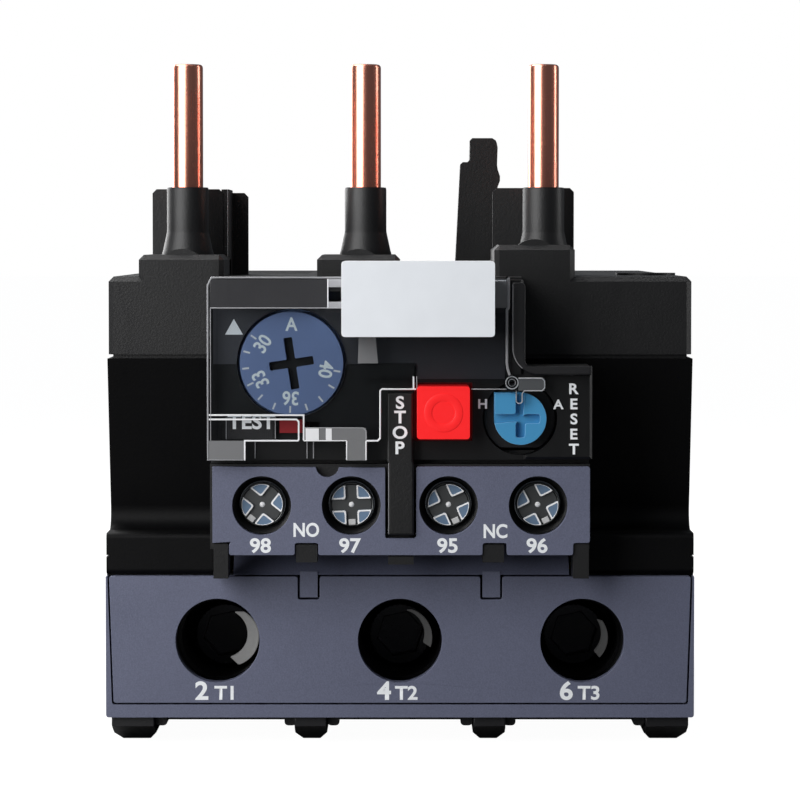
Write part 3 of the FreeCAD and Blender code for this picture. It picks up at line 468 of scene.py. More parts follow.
        # The next three finishes are painted highlights: paler, hazier clears for the cover's edges and for
        # highlight lines on the fascia and housing.
        self.clear_painted_highlight = ClearPlastic("clear_painted_highlight", (0.85, 0.87, 0.9), haze=0.3, roughness=0.2).build()
        self.bright_painted_highlight = ClearPlastic("bright_painted_highlight", (0.98, 0.98, 1.0), haze=0.85, roughness=0.3).build()
        self.grey_painted_highlight = ClearPlastic("grey_painted_highlight", (0.5, 0.5, 0.52), haze=0.6, roughness=0.3).build()
        self.frosted = ClearPlastic("frosted_clear", (0.42, 0.42, 0.43), haze=0.38, roughness=0.4).build()


# ---------------------------------------------------------------- outlines

def circle(x: float, z: float, radius: float, steps: int = 72) -> list[Point]:
    """Points of a circle."""
    turn = 2 * math.pi / steps
    return [(x + radius * math.cos(k * turn), z + radius * math.sin(k * turn)) for k in range(steps)]


def polar(x: float, z: float, radius: float, angle: float) -> Point:
    """The point at a radius and an angle, in degrees anticlockwise from the right, round a centre."""
    return (x + radius * math.cos(math.radians(angle)), z + radius * math.sin(math.radians(angle)))


def arc(x: float, z: float, radius: float, start: float, stop: float, steps: int) -> list[Point]:
    """Points of an arc from one angle to another, both ends included."""
    return [polar(x, z, radius, start + (stop - start) * k / steps) for k in range(steps + 1)]


def beside(x: float, z: float, *offsets: Point) -> list[Point]:
    """Points that lie so many millimetres right of and above a place."""
    return [(x + right * MM, z + up * MM) for right, up in offsets]


def rounded(points: Sequence[Point], radius: float, steps: int = 5) -> list[Point]:
    """Rounds every corner of an outline.

    Args:
        points: the sharp outline.
        radius: the corner radius, cut down where a side is short.
        steps: points per corner.

    Returns:
        The outline with arcs at its corners.
    """
    result: list[Point] = []
    count = len(points)
    for index, corner in enumerate(points):
        here = Vector(corner)
        to_last = Vector(points[index - 1]) - here
        to_next = Vector(points[(index + 1) % count]) - here
        reach = min(radius, to_last.length * 0.45, to_next.length * 0.45)
        first = here + to_last.normalized() * reach
        last = here + to_next.normalized() * reach
        for step in range(steps + 1):
            t = step / steps
            place = first * (1 - t) ** 2 + here * 2 * t * (1 - t) + last * t ** 2
            result.append((place.x, place.y))
    return result


def rectangle(x: Point, z: Point) -> list[Point]:
    """Corners of a rectangle."""
    return [(x[0], z[0]), (x[1], z[0]), (x[1], z[1]), (x[0], z[1])]


def cross(x: float, z: float, long_half: float, short_half: float, half_width: float,
          angle: float) -> list[Point]:
    """Gives the outline of a turned cross slot.

    Args:
        x: its centre across.
        z: its centre's height.
        long_half: half length of its first bar.
        short_half: half length of its second bar.
        half_width: half width of both bars.
        angle: its turn in degrees.

    Returns:
        The twelve corners.
    """
    w = half_width
    raw = [(long_half, -w), (long_half, w), (w, w), (w, short_half), (-w, short_half), (-w, w),
           (-long_half, w), (-long_half, -w), (-w, -w), (-w, -short_half), (w, -short_half), (w, -w)]
    cosine, sine = math.cos(math.radians(angle)), math.sin(math.radians(angle))
    return [(x + a * cosine - b * sine, z + a * sine + b * cosine) for a, b in raw]


def spread(box: tuple[Vector, Vector], axis: int) -> Point:
    """The span of a box along one axis."""
    return (box[0][axis], box[1][axis])


def middle(node: str) -> Vector:
    """The centre of a CAD node's box."""
    low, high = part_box(node)
    return (Vector(low) + Vector(high)) / 2


# ---------------------------------------------------------------- mesh workshop

class Workshop:
    """Makes meshes, dresses them and puts them on the frame."""

    capital_share: float = 0.72
    ink_depth: float = 0.012 * MM

    def __init__(self, finishes: Finishes) -> None:
        """Keeps the finishes for dressing."""
        self.finishes = finishes

    def _object(self, name: str, mesh: Any) -> Any:
        """Links a mesh to the scene as an object.

        Args:
            name: the object's name.
            mesh: its mesh.

        Returns:
            The new object.
        """
        made = bpy.data.objects.new(name, mesh)
        bpy.context.scene.collection.objects.link(made)
        return made

    def _soften(self, piece: Any, width: float, segments: int, edge_material: int = -1) -> None:
        """Rounds the sharp edges of a piece with a bevel modifier.

        Args:
            piece: the object.
            width: width of the rounded edges, or 0 for none.
            segments: steps of each edge.
            edge_material: number of the material on them, or -1 for the neighbours' own.
        """
        if width <= 0:
            return
        bevel = piece.modifiers.new("soft_edges", "BEVEL")
        bevel.width = width
        bevel.segments = segments
        bevel.limit_method = "ANGLE"
        bevel.angle_limit = math.radians(38)
        bevel.harden_normals = False
        bevel.material = edge_material

    def _smooth(self, piece: Any, angle: float = 35.0) -> None:
        """Shades a made piece smooth, apart from its sharp edges."""
        piece.data.shade_smooth()
        piece.data.set_sharp_from_angle(angle=math.radians(angle))

    def plate(self, name: str, loops: Sequence[Sequence[Point]], front: float, back: float,
              bevel: float = 0.0, segments: int = 3, edge: int = -1) -> Any:
        """Makes a plate with holes from outlines in X and Z.

        Args:
            name: the piece's name.
            loops: the outer outline first, then the holes.
            front: Y of the front face.
            back: Y of the rear face.
            bevel: width of the rounded edges.
            segments: steps of each rounded edge.
            edge: number of the material on the rounded edges, or -1 for the main one.

        Returns:
            The new object.
        """
        shape = bmesh.new()
        edges = []
        for loop in loops:
            verts = [shape.verts.new((x, back, z)) for x, z in loop]
            for index, vert in enumerate(verts):
                edges.append(shape.edges.new((vert, verts[(index + 1) % len(verts)])))
        bmesh.ops.triangle_fill(shape, use_beauty=True, use_dissolve=False, edges=edges)
        grown = bmesh.ops.extrude_face_region(shape, geom=shape.faces[:])
        moved = [item for item in grown["geom"] if isinstance(item, bmesh.types.BMVert)]
        bmesh.ops.translate(shape, verts=moved, vec=(0, front - back, 0))
        bmesh.ops.recalc_face_normals(shape, faces=shape.faces[:])
        mesh = bpy.data.meshes.new(name)
        shape.to_mesh(mesh)
        shape.free()
        piece = self._object(name, mesh)
        self._smooth(piece)
        self._soften(piece, bevel, segments, edge)
        return piece

    def lathe(self, name: str, profile: Sequence[Point], origin: Sequence[float], axis: str = "Z",
              steps: int = 96) -> Any:
        """Turns a closed profile round an axis.

        Args:
            name: the piece's name.
            profile: radius and height pairs, from one end of the axis to the other.
            origin: the axis's foot.
            axis: Z, or Y for heights that run to the rear.
            steps: points round the axis.

        Returns:
            The new object.
        """
        shape = bmesh.new()
        rings = []
        for radius, height in profile:
            if radius < 1e-7:
                rings.append([shape.verts.new((0, 0, height))])
                continue
            turn = 2 * math.pi / steps
            rings.append([shape.verts.new((radius * math.cos(k * turn), radius * math.sin(k * turn), height))
                          for k in range(steps)])
        for lower, upper in zip(rings, rings[1:]):
            for k in range(steps):
                corners = [lower[k % len(lower)], lower[(k + 1) % len(lower)],
                           upper[(k + 1) % len(upper)], upper[k % len(upper)]]
                face = list(dict.fromkeys(corners))
                if len(face) > 2:
                    shape.faces.new(face)
        bmesh.ops.recalc_face_normals(shape, faces=shape.faces[:])
        mesh = bpy.data.meshes.new(name)
        shape.to_mesh(mesh)
        shape.free()
        if axis == "Y":
            mesh.transform(Matrix.Rotation(-math.pi / 2, 4, "X"))
        mesh.transform(Matrix.Translation(Vector(origin)))
        piece = self._object(name, mesh)
        self._smooth(piece, 28.0)
        return piece

    def trim(self, name: str, route: Sequence[Point], width: float, surface: float, height: float) -> Any:
        """Lays a thin rounded strip along a route in X and Z.

        Args:
            name: the piece's name.
            route: its corner points.
            width: width of the strip.
            surface: Y of the surface under it.
            height: how far it stands out.

        Returns:
            The new object.
        """
        points = [Vector(point) for point in route]
        left_side: list[Point] = []
        right_side: list[Point] = []
        for index, point in enumerate(points):
            before = (point - points[index - 1]).normalized() if index else (points[1] - point).normalized()
            after = (points[index + 1] - point).normalized() if index + 1 < len(points) else before
            normal = Vector((-(before + after).y, (before + after).x)).normalized()
            stretch = width / 2 / max(0.5, normal.dot(Vector((-after.y, after.x))))
            left_side.append(tuple(point + normal * stretch))
            right_side.append(tuple(point - normal * stretch))
        outline = left_side + right_side[::-1]
        bevel = min(width * 0.3, height * 0.6)
        return self.plate(name, [outline], surface - height, surface + SINK, bevel, 2)

    def _from_curve(self, name: str, curve: Any) -> Any:
        """Turns curve data into a mesh object.

        Args:
            name: the piece's name.
            curve: the curve data.

        Returns:
            The new object.
        """
        holder = bpy.data.objects.new(name + "_curve", curve)
        bpy.context.scene.collection.objects.link(holder)
        bpy.context.view_layer.update()
        mesh = bpy.data.meshes.new_from_object(holder.evaluated_get(bpy.context.evaluated_depsgraph_get()))
        bpy.data.objects.remove(holder)
        mesh.name = name
        piece = self._object(name, mesh)
        self._smooth(piece, 30.0)
        return piece

    def lettering(self, name: str, words: str, x: float, z: float, height: float, surface: float,
                  angle: float = 0.0, boldness: float = 0.038, narrow: float = 1.08) -> Any:
        """Makes flat printed lettering that faces the front.

        Args:
            name: the piece's name.
            words: what it says.
            x: its centre across.
            z: its centre's height.
            height: height of a capital.
            surface: Y of the surface under it.
            angle: turn to the left, in degrees, seen from the front.
            boldness: how far the strokes are thickened, as a share of the height.
            narrow: width as a share of the font's own.

        Returns:
            The new object.
        """
        font = bpy.data.curves.new(name, "FONT")
        font.body = words
        font.align_x = "CENTER"
        font.align_y = "CENTER"
        font.size = height / self.capital_share
        font.offset = boldness * height
        font.extrude = self.ink_depth
        font.resolution_u = 6
        piece = self._from_curve(name, font)
        turn = Matrix.Rotation(-math.radians(angle), 4, "Y") @ Matrix.Rotation(math.pi / 2, 4, "X")
        low = Vector([min(v.co[i] for v in piece.data.vertices) for i in range(3)])
        high = Vector([max(v.co[i] for v in piece.data.vertices) for i in range(3)])
        centre = (low + high) / 2
        place = Matrix.Translation((x, surface - self.ink_depth, z))
        shrink = Matrix.Diagonal((narrow, 1.0, 1.0, 1.0))
        piece.data.transform(place @ turn @ shrink @ Matrix.Translation((-centre.x, -centre.y, 0)))
        return piece

    def mount(self, piece: Any, body: Body | str, slot: Slot, *materials: Any,
              stands_for: Sequence[str] = ()) -> Any:
        """Dresses a made piece and hangs it on a body.

        Args:
            piece: the made object.
            body: the body that it rides on, or its name.
            slot: the record's material slot; not used.
            materials: its materials, the main one first.
            stands_for: CAD nodes that it replaces.

        Returns:
            The same object.
        """
        for material in materials:
            piece.data.materials.append(material)
        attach(piece, body.value if isinstance(body, Body) else body)
        if stands_for:
            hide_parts(*stands_for)
        LOG.info("made %s", piece.name)
        return piece

    def dress(self, node: str, material: Any, bevel: float = 0.0, segments: int = 2,
              edge: Optional[Any] = None) -> None:
        """Gives a CAD node a finish and soft edges.

        Args:
            node: the node's name.
            material: its finish.
            bevel: width of its softened edges.
            segments: steps of each edge.
            edge: another finish for the softened edges.
        """
        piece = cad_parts[node]
        for index in range(max(1, len(piece.material_slots))):
            if index < len(piece.material_slots):
                piece.material_slots[index].material = material
            else:
                piece.data.materials.append(material)
        number = -1
        if edge is not None:
            piece.data.materials.append(edge)
            number = len(piece.material_slots) - 1
        self._soften(piece, bevel, segments, number)
        LOG.info("dressed %s", node)


# ---------------------------------------------------------------- sub-assemblies

@dataclass
class Casing:
    """Black mouldings that make the body of the relay."""

    shop: Workshop
    edge: float = 0.16 * MM
    fine_edge: float = 0.1 * MM
    collar_radius: float = 2.54 * MM
    collar_foot: float = 3.14 * MM
    collar_height: float = 8.0 * MM
    pin_free: float = 14.99 * MM
    axis_depth: float = 3.0 * MM
    web_reach: Point = (3.8 * MM, 4.8 * MM)
    web_front: float = 20.1 * MM
    web_depth: float = 9.5 * MM

    def build(self) -> None:
        """Dresses the mouldings and adds the turned collars."""
        black = self.shop.finishes.casing
        for node in ("upper_shell", "rear_cover", "mounting_hook"):
            self.shop.dress(node, black, self.edge)
        self.shop.dress("main_housing", self.shop.finishes.base, self.edge)
        for node in ("aux_block", "control_housing"):
            self.shop.dress(node, black, self.fine_edge)
        for number in (1, 2, 3):
            self.collar(number)
        self.web()

    def web(self) -> None:
        """Closes the slit between the first pin's block and the post behind it, with a painted highlight line
        along its right edge.
        """
        finishes = self.shop.finishes
        x, pin_top = middle("contact_pin_1").x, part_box("contact_pin_1")[1][2]
        left, right = x + self.web_reach[0], x + self.web_reach[1]
        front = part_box("terminal_plate")[0][1] + self.web_front
        low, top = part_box("rear_cover")[1][2] - 0.2 * MM, pin_top - self.pin_free - 0.11 * MM
        outline = rectangle((left, right), (low, top))
        sheet = self.shop.plate("post_web", [outline], front, front + self.web_depth, self.fine_edge)
        self.shop.mount(sheet, Body.RELAY, Slot.BLACK, finishes.casing)
        route = [(right - 0.2 * MM, low), (right - 0.2 * MM, top)]
        line = self.shop.trim("post_web_line", route, 0.1 * MM, front, 0.03 * MM)
        self.shop.mount(line, Body.RELAY, Slot.BLACK, finishes.grey_painted_highlight)

    def collar(self, number: int) -> None:
        """Makes the insulating collar round one pin.

        Args:
            number: the pin's number.
        """
        low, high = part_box(f"contact_pin_{number}")
        x, y, top = (low[0] + high[0]) / 2, low[1] + self.axis_depth, high[2] - self.pin_free
        side, foot = self.collar_radius, top - self.collar_height
        lip = beside(side, top, (-0.75, -0.3), (-0.72, 0.03), (-0.25, 0.03), (-0.07, -0.05), (0, -0.25))
        flare = beside(side, foot, (0, 2.9), (0.05, 2.2), (0.22, 1.2))
        root = beside(self.collar_foot, foot, (0, 0), (0, -0.4))
        piece = self.shop.lathe(f"pin_collar_{number}", lip + flare + root, (x, y, 0))
        self.shop.mount(piece, Body.RELAY, Slot.BLACK, self.shop.finishes.casing)


@dataclass
class Feet:
    """Runners under the housing, with chamfered soles and lifted noses."""

    shop: Workshop
    nose: float = 2.3 * MM
    slope: float = 2.95
    chamfer: float = 0.85 * MM
    edge: float = 0.12 * MM
    outer: Point = (29.3 * MM, 34.4 * MM)
    inner: Point = (8.75 * MM, 12.6 * MM)
    wings: tuple[float, ...] = (7.95 * MM, 13.1 * MM, 28.55 * MM)
    wing_half: float = 0.72 * MM
    wing_low: float = 2.25 * MM
    wing_span: Point = (1.2 * MM, 59 * MM)
    sheets: tuple[tuple[str, float, float, float], ...] = (
        ("front", 7.2 * MM, 29.2 * MM, 1.26 * MM), ("rear", 59.2 * MM, 87.2 * MM, 1.66 * MM))

    def build(self) -> None:
        """Makes the runners, their wings and the two cross sheets."""
        low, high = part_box("foot_grid")
        sides = ((-1, "left"), (1, "right"))
        for number, (near, far) in enumerate((self.outer, self.inner), 1):
            for side, word in sides:
                edges = sorted((side * near, side * far))
                self.runner(f"foot_{number}_{word}", edges, low, high, number == side == 1)
        for number, place in enumerate(self.wings, 1):
            for side, word in sides:
                self.wing(f"foot_wing_{number}_{word}", side * place, low, high)
        for name, front, back, drop in self.sheets:
            outline = rectangle((low[0] + 0.4 * MM, high[0] - 0.4 * MM), (high[2] - drop, high[2]))
            sheet = self.shop.plate(f"foot_plate_{name}", [outline], low[1] + front, low[1] + back, 0.15 * MM)
            self.shop.mount(sheet, Body.RELAY, Slot.BLACK, self.shop.finishes.casing)

    def runner(self, name: str, edges: Sequence[float], low: Vector, high: Vector, first: bool) -> None:
        """Makes one runner.

        Args:
            name: the piece's name.
            edges: its left and right side.
            low: low corner of the CAD feet.
            high: their high corner.
            first: whether this runner stands for the CAD node.
        """
        left, right = edges
        neck, cut = low[2] + self.nose, self.chamfer
        outline = rectangle((left, right), (neck, high[2]))
        top = self.shop.plate(name + "_top", [outline], low[1], high[1], self.edge)
        sole = [(left, neck), (left, low[2] + cut * 1.3), (left + cut, low[2]), (right - cut, low[2]),
                (right, low[2] + cut * 1.3), (right, neck)]
        shoe = self.shop.plate(name + "_sole", [sole], low[1], high[1] - 2 * MM, self.edge)
        for vert in shoe.data.vertices:
            if vert.co.y < low[1] + 0.1 * MM:
                vert.co.y += (neck - vert.co.z) * self.slope
        for piece, stands in ((top, ["foot_grid"] if first else []), (shoe, [])):
            self.shop.mount(piece, Body.RELAY, Slot.BLACK, self.shop.finishes.panel, stands_for=stands)

    def wing(self, name: str, x: float, low: Vector, high: Vector) -> None:
        """Makes one round-bottomed wing beside a runner.

        Args:
            name: the piece's name.
            x: its middle across.
            low: low corner of the CAD feet.
            high: their high corner.
        """
        half = self.wing_half
        outline = rounded(rectangle((x - half, x + half), (self.wing_low, high[2] - SINK)), 0.6 * MM, 6)
        start, end = self.wing_span
        piece = self.shop.plate(name, [outline], low[1] + start, low[1] + end, 0.1 * MM)
        self.shop.mount(piece, Body.RELAY, Slot.BLACK, self.shop.finishes.casing)


@dataclass
class ContactPins:
    """Round copper pins that plug into the contactor."""

    shop: Workshop
    radius: float = 1.875 * MM
    root_radius: float = 1.6 * MM
    free_length: float = 14.99 * MM
    tip: float = 0.42 * MM
    axis_depth: float = 3.0 * MM
    strap: float = 2.4 * MM

    def build(self) -> None:
        """Makes the pins and the flat straps at their lower ends."""
        copper = self.shop.finishes.copper
        for number in (1, 2, 3):
            low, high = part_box(f"contact_pin_{number}")
            axis = ((low[0] + high[0]) / 2, low[1] + self.axis_depth, 0)
            piece = self.shop.lathe(f"pin_{number}", self.profile(low[2], high[2]), axis, steps=128)
            self.shop.mount(piece, Body.RELAY, Slot.COPPER, copper, stands_for=[f"contact_pin_{number}"])
            foot = rounded(rectangle((low[0], high[0]), (low[2], low[2] + self.strap)), 0.3 * MM, 3)
            strap = self.shop.plate(f"pin_strap_{number}", [foot], low[1], high[1], 0.2 * MM)
            self.shop.mount(strap, Body.RELAY, Slot.COPPER, copper)

    def profile(self, bottom: float, top: float) -> list[Point]:
        """Gives the turned outline of a pin.

        Args:
            bottom: height of its lower end.
            top: height of its tip.

        Returns:
            Radius and height of each point, from the lower end up.
        """
        tip, radius, seat = self.tip, self.radius, top - self.free_length
        return [(0, bottom + 0.2 * MM), (self.root_radius, bottom + 0.2 * MM), (self.root_radius, seat),
                (radius, seat), (radius, top - tip), (radius - 0.13 * tip, top - 0.5 * tip),
                (radius - 0.5 * tip, top - 0.13 * tip), (radius - tip, top), (0, top)]


@dataclass
class TerminalFront:
    """Blue-grey plate over the load terminals, its frame and the lock strip."""

    shop: Workshop
    hole_radius: float = 5.0 * MM
    hole_height: float = 12.64 * MM
    taper: float = 0.5 * MM
    gap: float = 0.2 * MM
    tab_half: float = 1.3 * MM
    tab_low: float = 17.55 * MM
    letter_drop: float = 6.04 * MM
    tube_height: float = 11.9 * MM
    tube_radius: float = 5.3 * MM
    tube_step: float = 0.35 * MM
    # The next sizes place the painted highlight step in each screw tube, on the side where light falls.
    painted_highlight_depth: float = 14.0 * MM
    painted_highlight_outer: Point = (11.54 * MM, 3.5 * MM)
    painted_highlight_inner: Point = (12.0 * MM, 3.0 * MM)
    marks: tuple[tuple[str, str], ...] = (("2", "T1"), ("4", "T2"), ("6", "T3"))
    painted_highlight_spans: tuple[tuple[float, float, float], ...] = (
        (-73.0, 62.0, 0.87 * MM), (-20.0, 74.0, 0.45 * MM), (-45.0, 35.0, 0.3 * MM))

    def build(self) -> None:
        """Makes the plate and frame, dresses the strip and prints the marks."""
        low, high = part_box("terminal_plate")
        poles = [middle(f"main_screw_{number}").x for number in (1, 2, 3)]
        self.plate(low, high, poles)
        self.frame(low, high)
        self.shop.dress("aux_lock_strip", self.shop.finishes.grey, 0.12 * MM)
        for x, (number, phase) in zip(poles, self.marks):
            self.mark(x, low[1], number, phase)
        for number, x in enumerate(poles, 1):
            self.liner(number, x, low[1])

    def plate(self, low: Vector, high: Vector, poles: Sequence[float]) -> None:
        """Makes the plate with its three holes and two notches.

        Args:
            low: low corner of the CAD plate.
            high: its high corner.
            poles: the holes' middles across.
        """
        wide, top, bottom = high[0], high[2], low[2]
        outline = [(-wide + self.taper, bottom), (wide - self.taper, bottom), (wide, top)]
        for x in (poles[2] / 2, poles[0] / 2):
            right, left = x + self.tab_half, x - self.tab_half
            outline += [(right, top), (right, self.tab_low), (left, self.tab_low), (left, top)]
        outline.append((-wide, top))
        loops = [rounded(outline, 0.3 * MM, 3)]
        loops += [circle(x, self.hole_height, self.hole_radius, 96) for x in poles]
        piece = self.shop.plate("terminal_face", loops, low[1], high[1], 0.26 * MM)
        self.shop.mount(piece, Body.RELAY, Slot.GREY, self.shop.finishes.grey, stands_for=["terminal_plate"])

    def frame(self, low: Vector, high: Vector) -> None:
        """Makes the U-shaped frame round the plate.

        Args:
            low: low corner of the CAD plate.
            high: its high corner.
        """
        outer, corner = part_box("terminal_frame")
        wide, top, inner = corner[0], corner[2], high[0] + self.gap
        shelf = (inner - self.taper, low[2] - self.gap)
        outline = [(-wide, top), (-wide, outer[2]), (wide, outer[2]), (wide, top), (inner, top), shelf,
                   (-shelf[0], shelf[1]), (-inner, top)]
        loops = [rounded(outline, 0.35 * MM, 4)]
        piece = self.shop.plate("terminal_surround", loops, outer[1], corner[1], 0.14 * MM)
        self.shop.mount(piece, Body.RELAY, Slot.GREY, self.shop.finishes.grey, stands_for=["terminal_frame"])

    def mark(self, x: float, surface: float, number: str, phase: str) -> None:
        """Prints a terminal's number and phase under its hole.

        Args:
            x: the hole's middle across.
            surface: Y of the plate's face.
            number: the terminal's number.
            phase: its phase.
        """
        z = self.hole_height - self.letter_drop
        ink = self.shop.finishes.ink
        big = self.shop.lettering(f"mark_{number}", number, x - 1.9 * MM, z + 0.08 * MM, 2.16 * MM, surface)
        small = self.shop.lettering(f"mark_{phase}", phase, x + 0.75 * MM, z - 0.19 * MM, 1.62 * MM, surface)
        self.shop.mount(big, Body.RELAY, Slot.WHITE, ink)
        self.shop.mount(small, Body.RELAY, Slot.WHITE, ink)

    def liner(self, number: int, x: float, front: float) -> None:
        """Makes the smooth stepped liner of one screw tube, and its painted highlight step.

        Args:
            number: the tube's number.
            x: its axis across.
            front: Y of the plate's face.
        """
        inner = self.tube_radius
        narrow = inner - self.tube_step
        profile = beside(inner, 0.0, (0.28, 2.1), (0.2, 2.1), (0, 3.2), (0, 12))
        profile += beside(narrow, 0.0, (0, 12.4), (0, 27.3)) + beside(inner, 0.0, (0.28, 27.3), (0.28, 2.1))
        piece = self.shop.lathe(f"tube_liner_{number}", profile, (x, front, self.tube_height), "Y", 80)
        self.shop.mount(piece, Body.RELAY, Slot.BLACK, self.shop.finishes.panel)
        self.painted_highlight_step(number, x, front + self.painted_highlight_depth)

    def painted_highlight_step(self, number: int, x: float, front: float) -> None:
        """Makes the painted highlight on one side of a screw tube: a glowing step on the side where light
        falls.

        Args:
            number: the tube's number.
            x: its axis across.
            front: Y of the step's face.
        """
        start, stop, shift = self.painted_highlight_spans[number - 1]
        outline = arc(x + shift, *self.painted_highlight_outer, start, stop, 24)
        outline += reversed(arc(x, *self.painted_highlight_inner, start, stop, 24))
        step = self.shop.plate(f"tube_step_{number}", [outline], front, front + 1.2 * MM, 0.12 * MM)
        # The first tube gets the brighter painted highlight, the other two a dimmer one.
        finish = self.shop.finishes.painted_highlight_wall if number == 1 else self.shop.finishes.painted_dim_highlight_wall
        self.shop.mount(step, Body.RELAY, Slot.BLACK, finish)


@dataclass
class TerminalScrews:
    """Socket-head screws and cages of the load terminals."""

    shop: Workshop
    head_radius: float = 3.85 * MM
    head_length: float = 4.5 * MM
    hex_radius: float = 2.9 * MM
    hex_turn: float = 12.0
    socket_depth: float = 3.0 * MM
    shank: float = 3.0 * MM
    knurls: int = 36
    knurl_depth: float = 0.12 * MM
    pitch: float = 1.25 * MM
    thread_depth: float = 0.45 * MM
    edge: float = 0.15 * MM

    def build(self) -> None:
        """Makes the screws and dresses the cages and busbars."""
        finishes = self.shop.finishes
        for number in (1, 2, 3):
            self.screw(number)
            self.shop.dress(f"main_cage_{number}", finishes.zinc, self.edge)
            self.shop.dress(f"load_busbar_{number}", finishes.brass, self.edge)

    def screw(self, number: int) -> None:
        """Makes one knurled socket-head screw.

        Args:
            number: the screw's number.
        """
        node, body = f"main_screw_{number}", f"terminal_screw_{number}"
        low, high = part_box(node)
        centre = middle(node)
        x, z, front = centre.x, centre.z, low[1]
        oxide = self.shop.finishes.oxide
        radii = [self.head_radius, self.head_radius - self.knurl_depth] * self.knurls
        rim = [polar(x, z, radius, 180 * step / self.knurls) for step, radius in enumerate(radii)]
        socket = [polar(x, z, self.hex_radius, 60 * side + self.hex_turn) for side in range(6)]
        depth = self.socket_depth
        head = self.shop.plate(f"screw_head_{number}", [rim, socket], front, front + depth, 0.2 * MM)
        self.shop.mount(head, body, Slot.ZINC, oxide, stands_for=[node])
        reach, side = high[1] - front, self.head_radius - self.knurl_depth
        profile = [(0, depth + 0.35 * MM), (self.hex_radius, depth - SINK), (side, depth - SINK),
                   (side, self.head_length), (self.shank, self.head_length)]
        profile += self.thread(self.head_length + 0.6 * MM, reach - 0.6 * MM)
        profile += [(self.shank - 0.6 * MM, reach), (0, reach)]
        stem = self.shop.lathe(f"screw_stem_{number}", profile, (x, front, z), "Y", 64)
        self.shop.mount(stem, body, Slot.ZINC, oxide)

    def thread(self, start: float, end: float) -> list[Point]:
        """Gives the ridges along a shank.

        Args:
            start: where the thread begins.
            end: where it ends.

        Returns:
            Radius and height of each point.
        """
        radius, pitch = self.shank, self.pitch
        points: list[Point] = []
        for turn in range(int((end - start) / pitch)):
            base = start + turn * pitch
            root = (radius - self.thread_depth, base + pitch * 0.45)
            points += [(radius, base), root, (radius, base + pitch * 0.9)]
        points.append((radius, end))
        return points


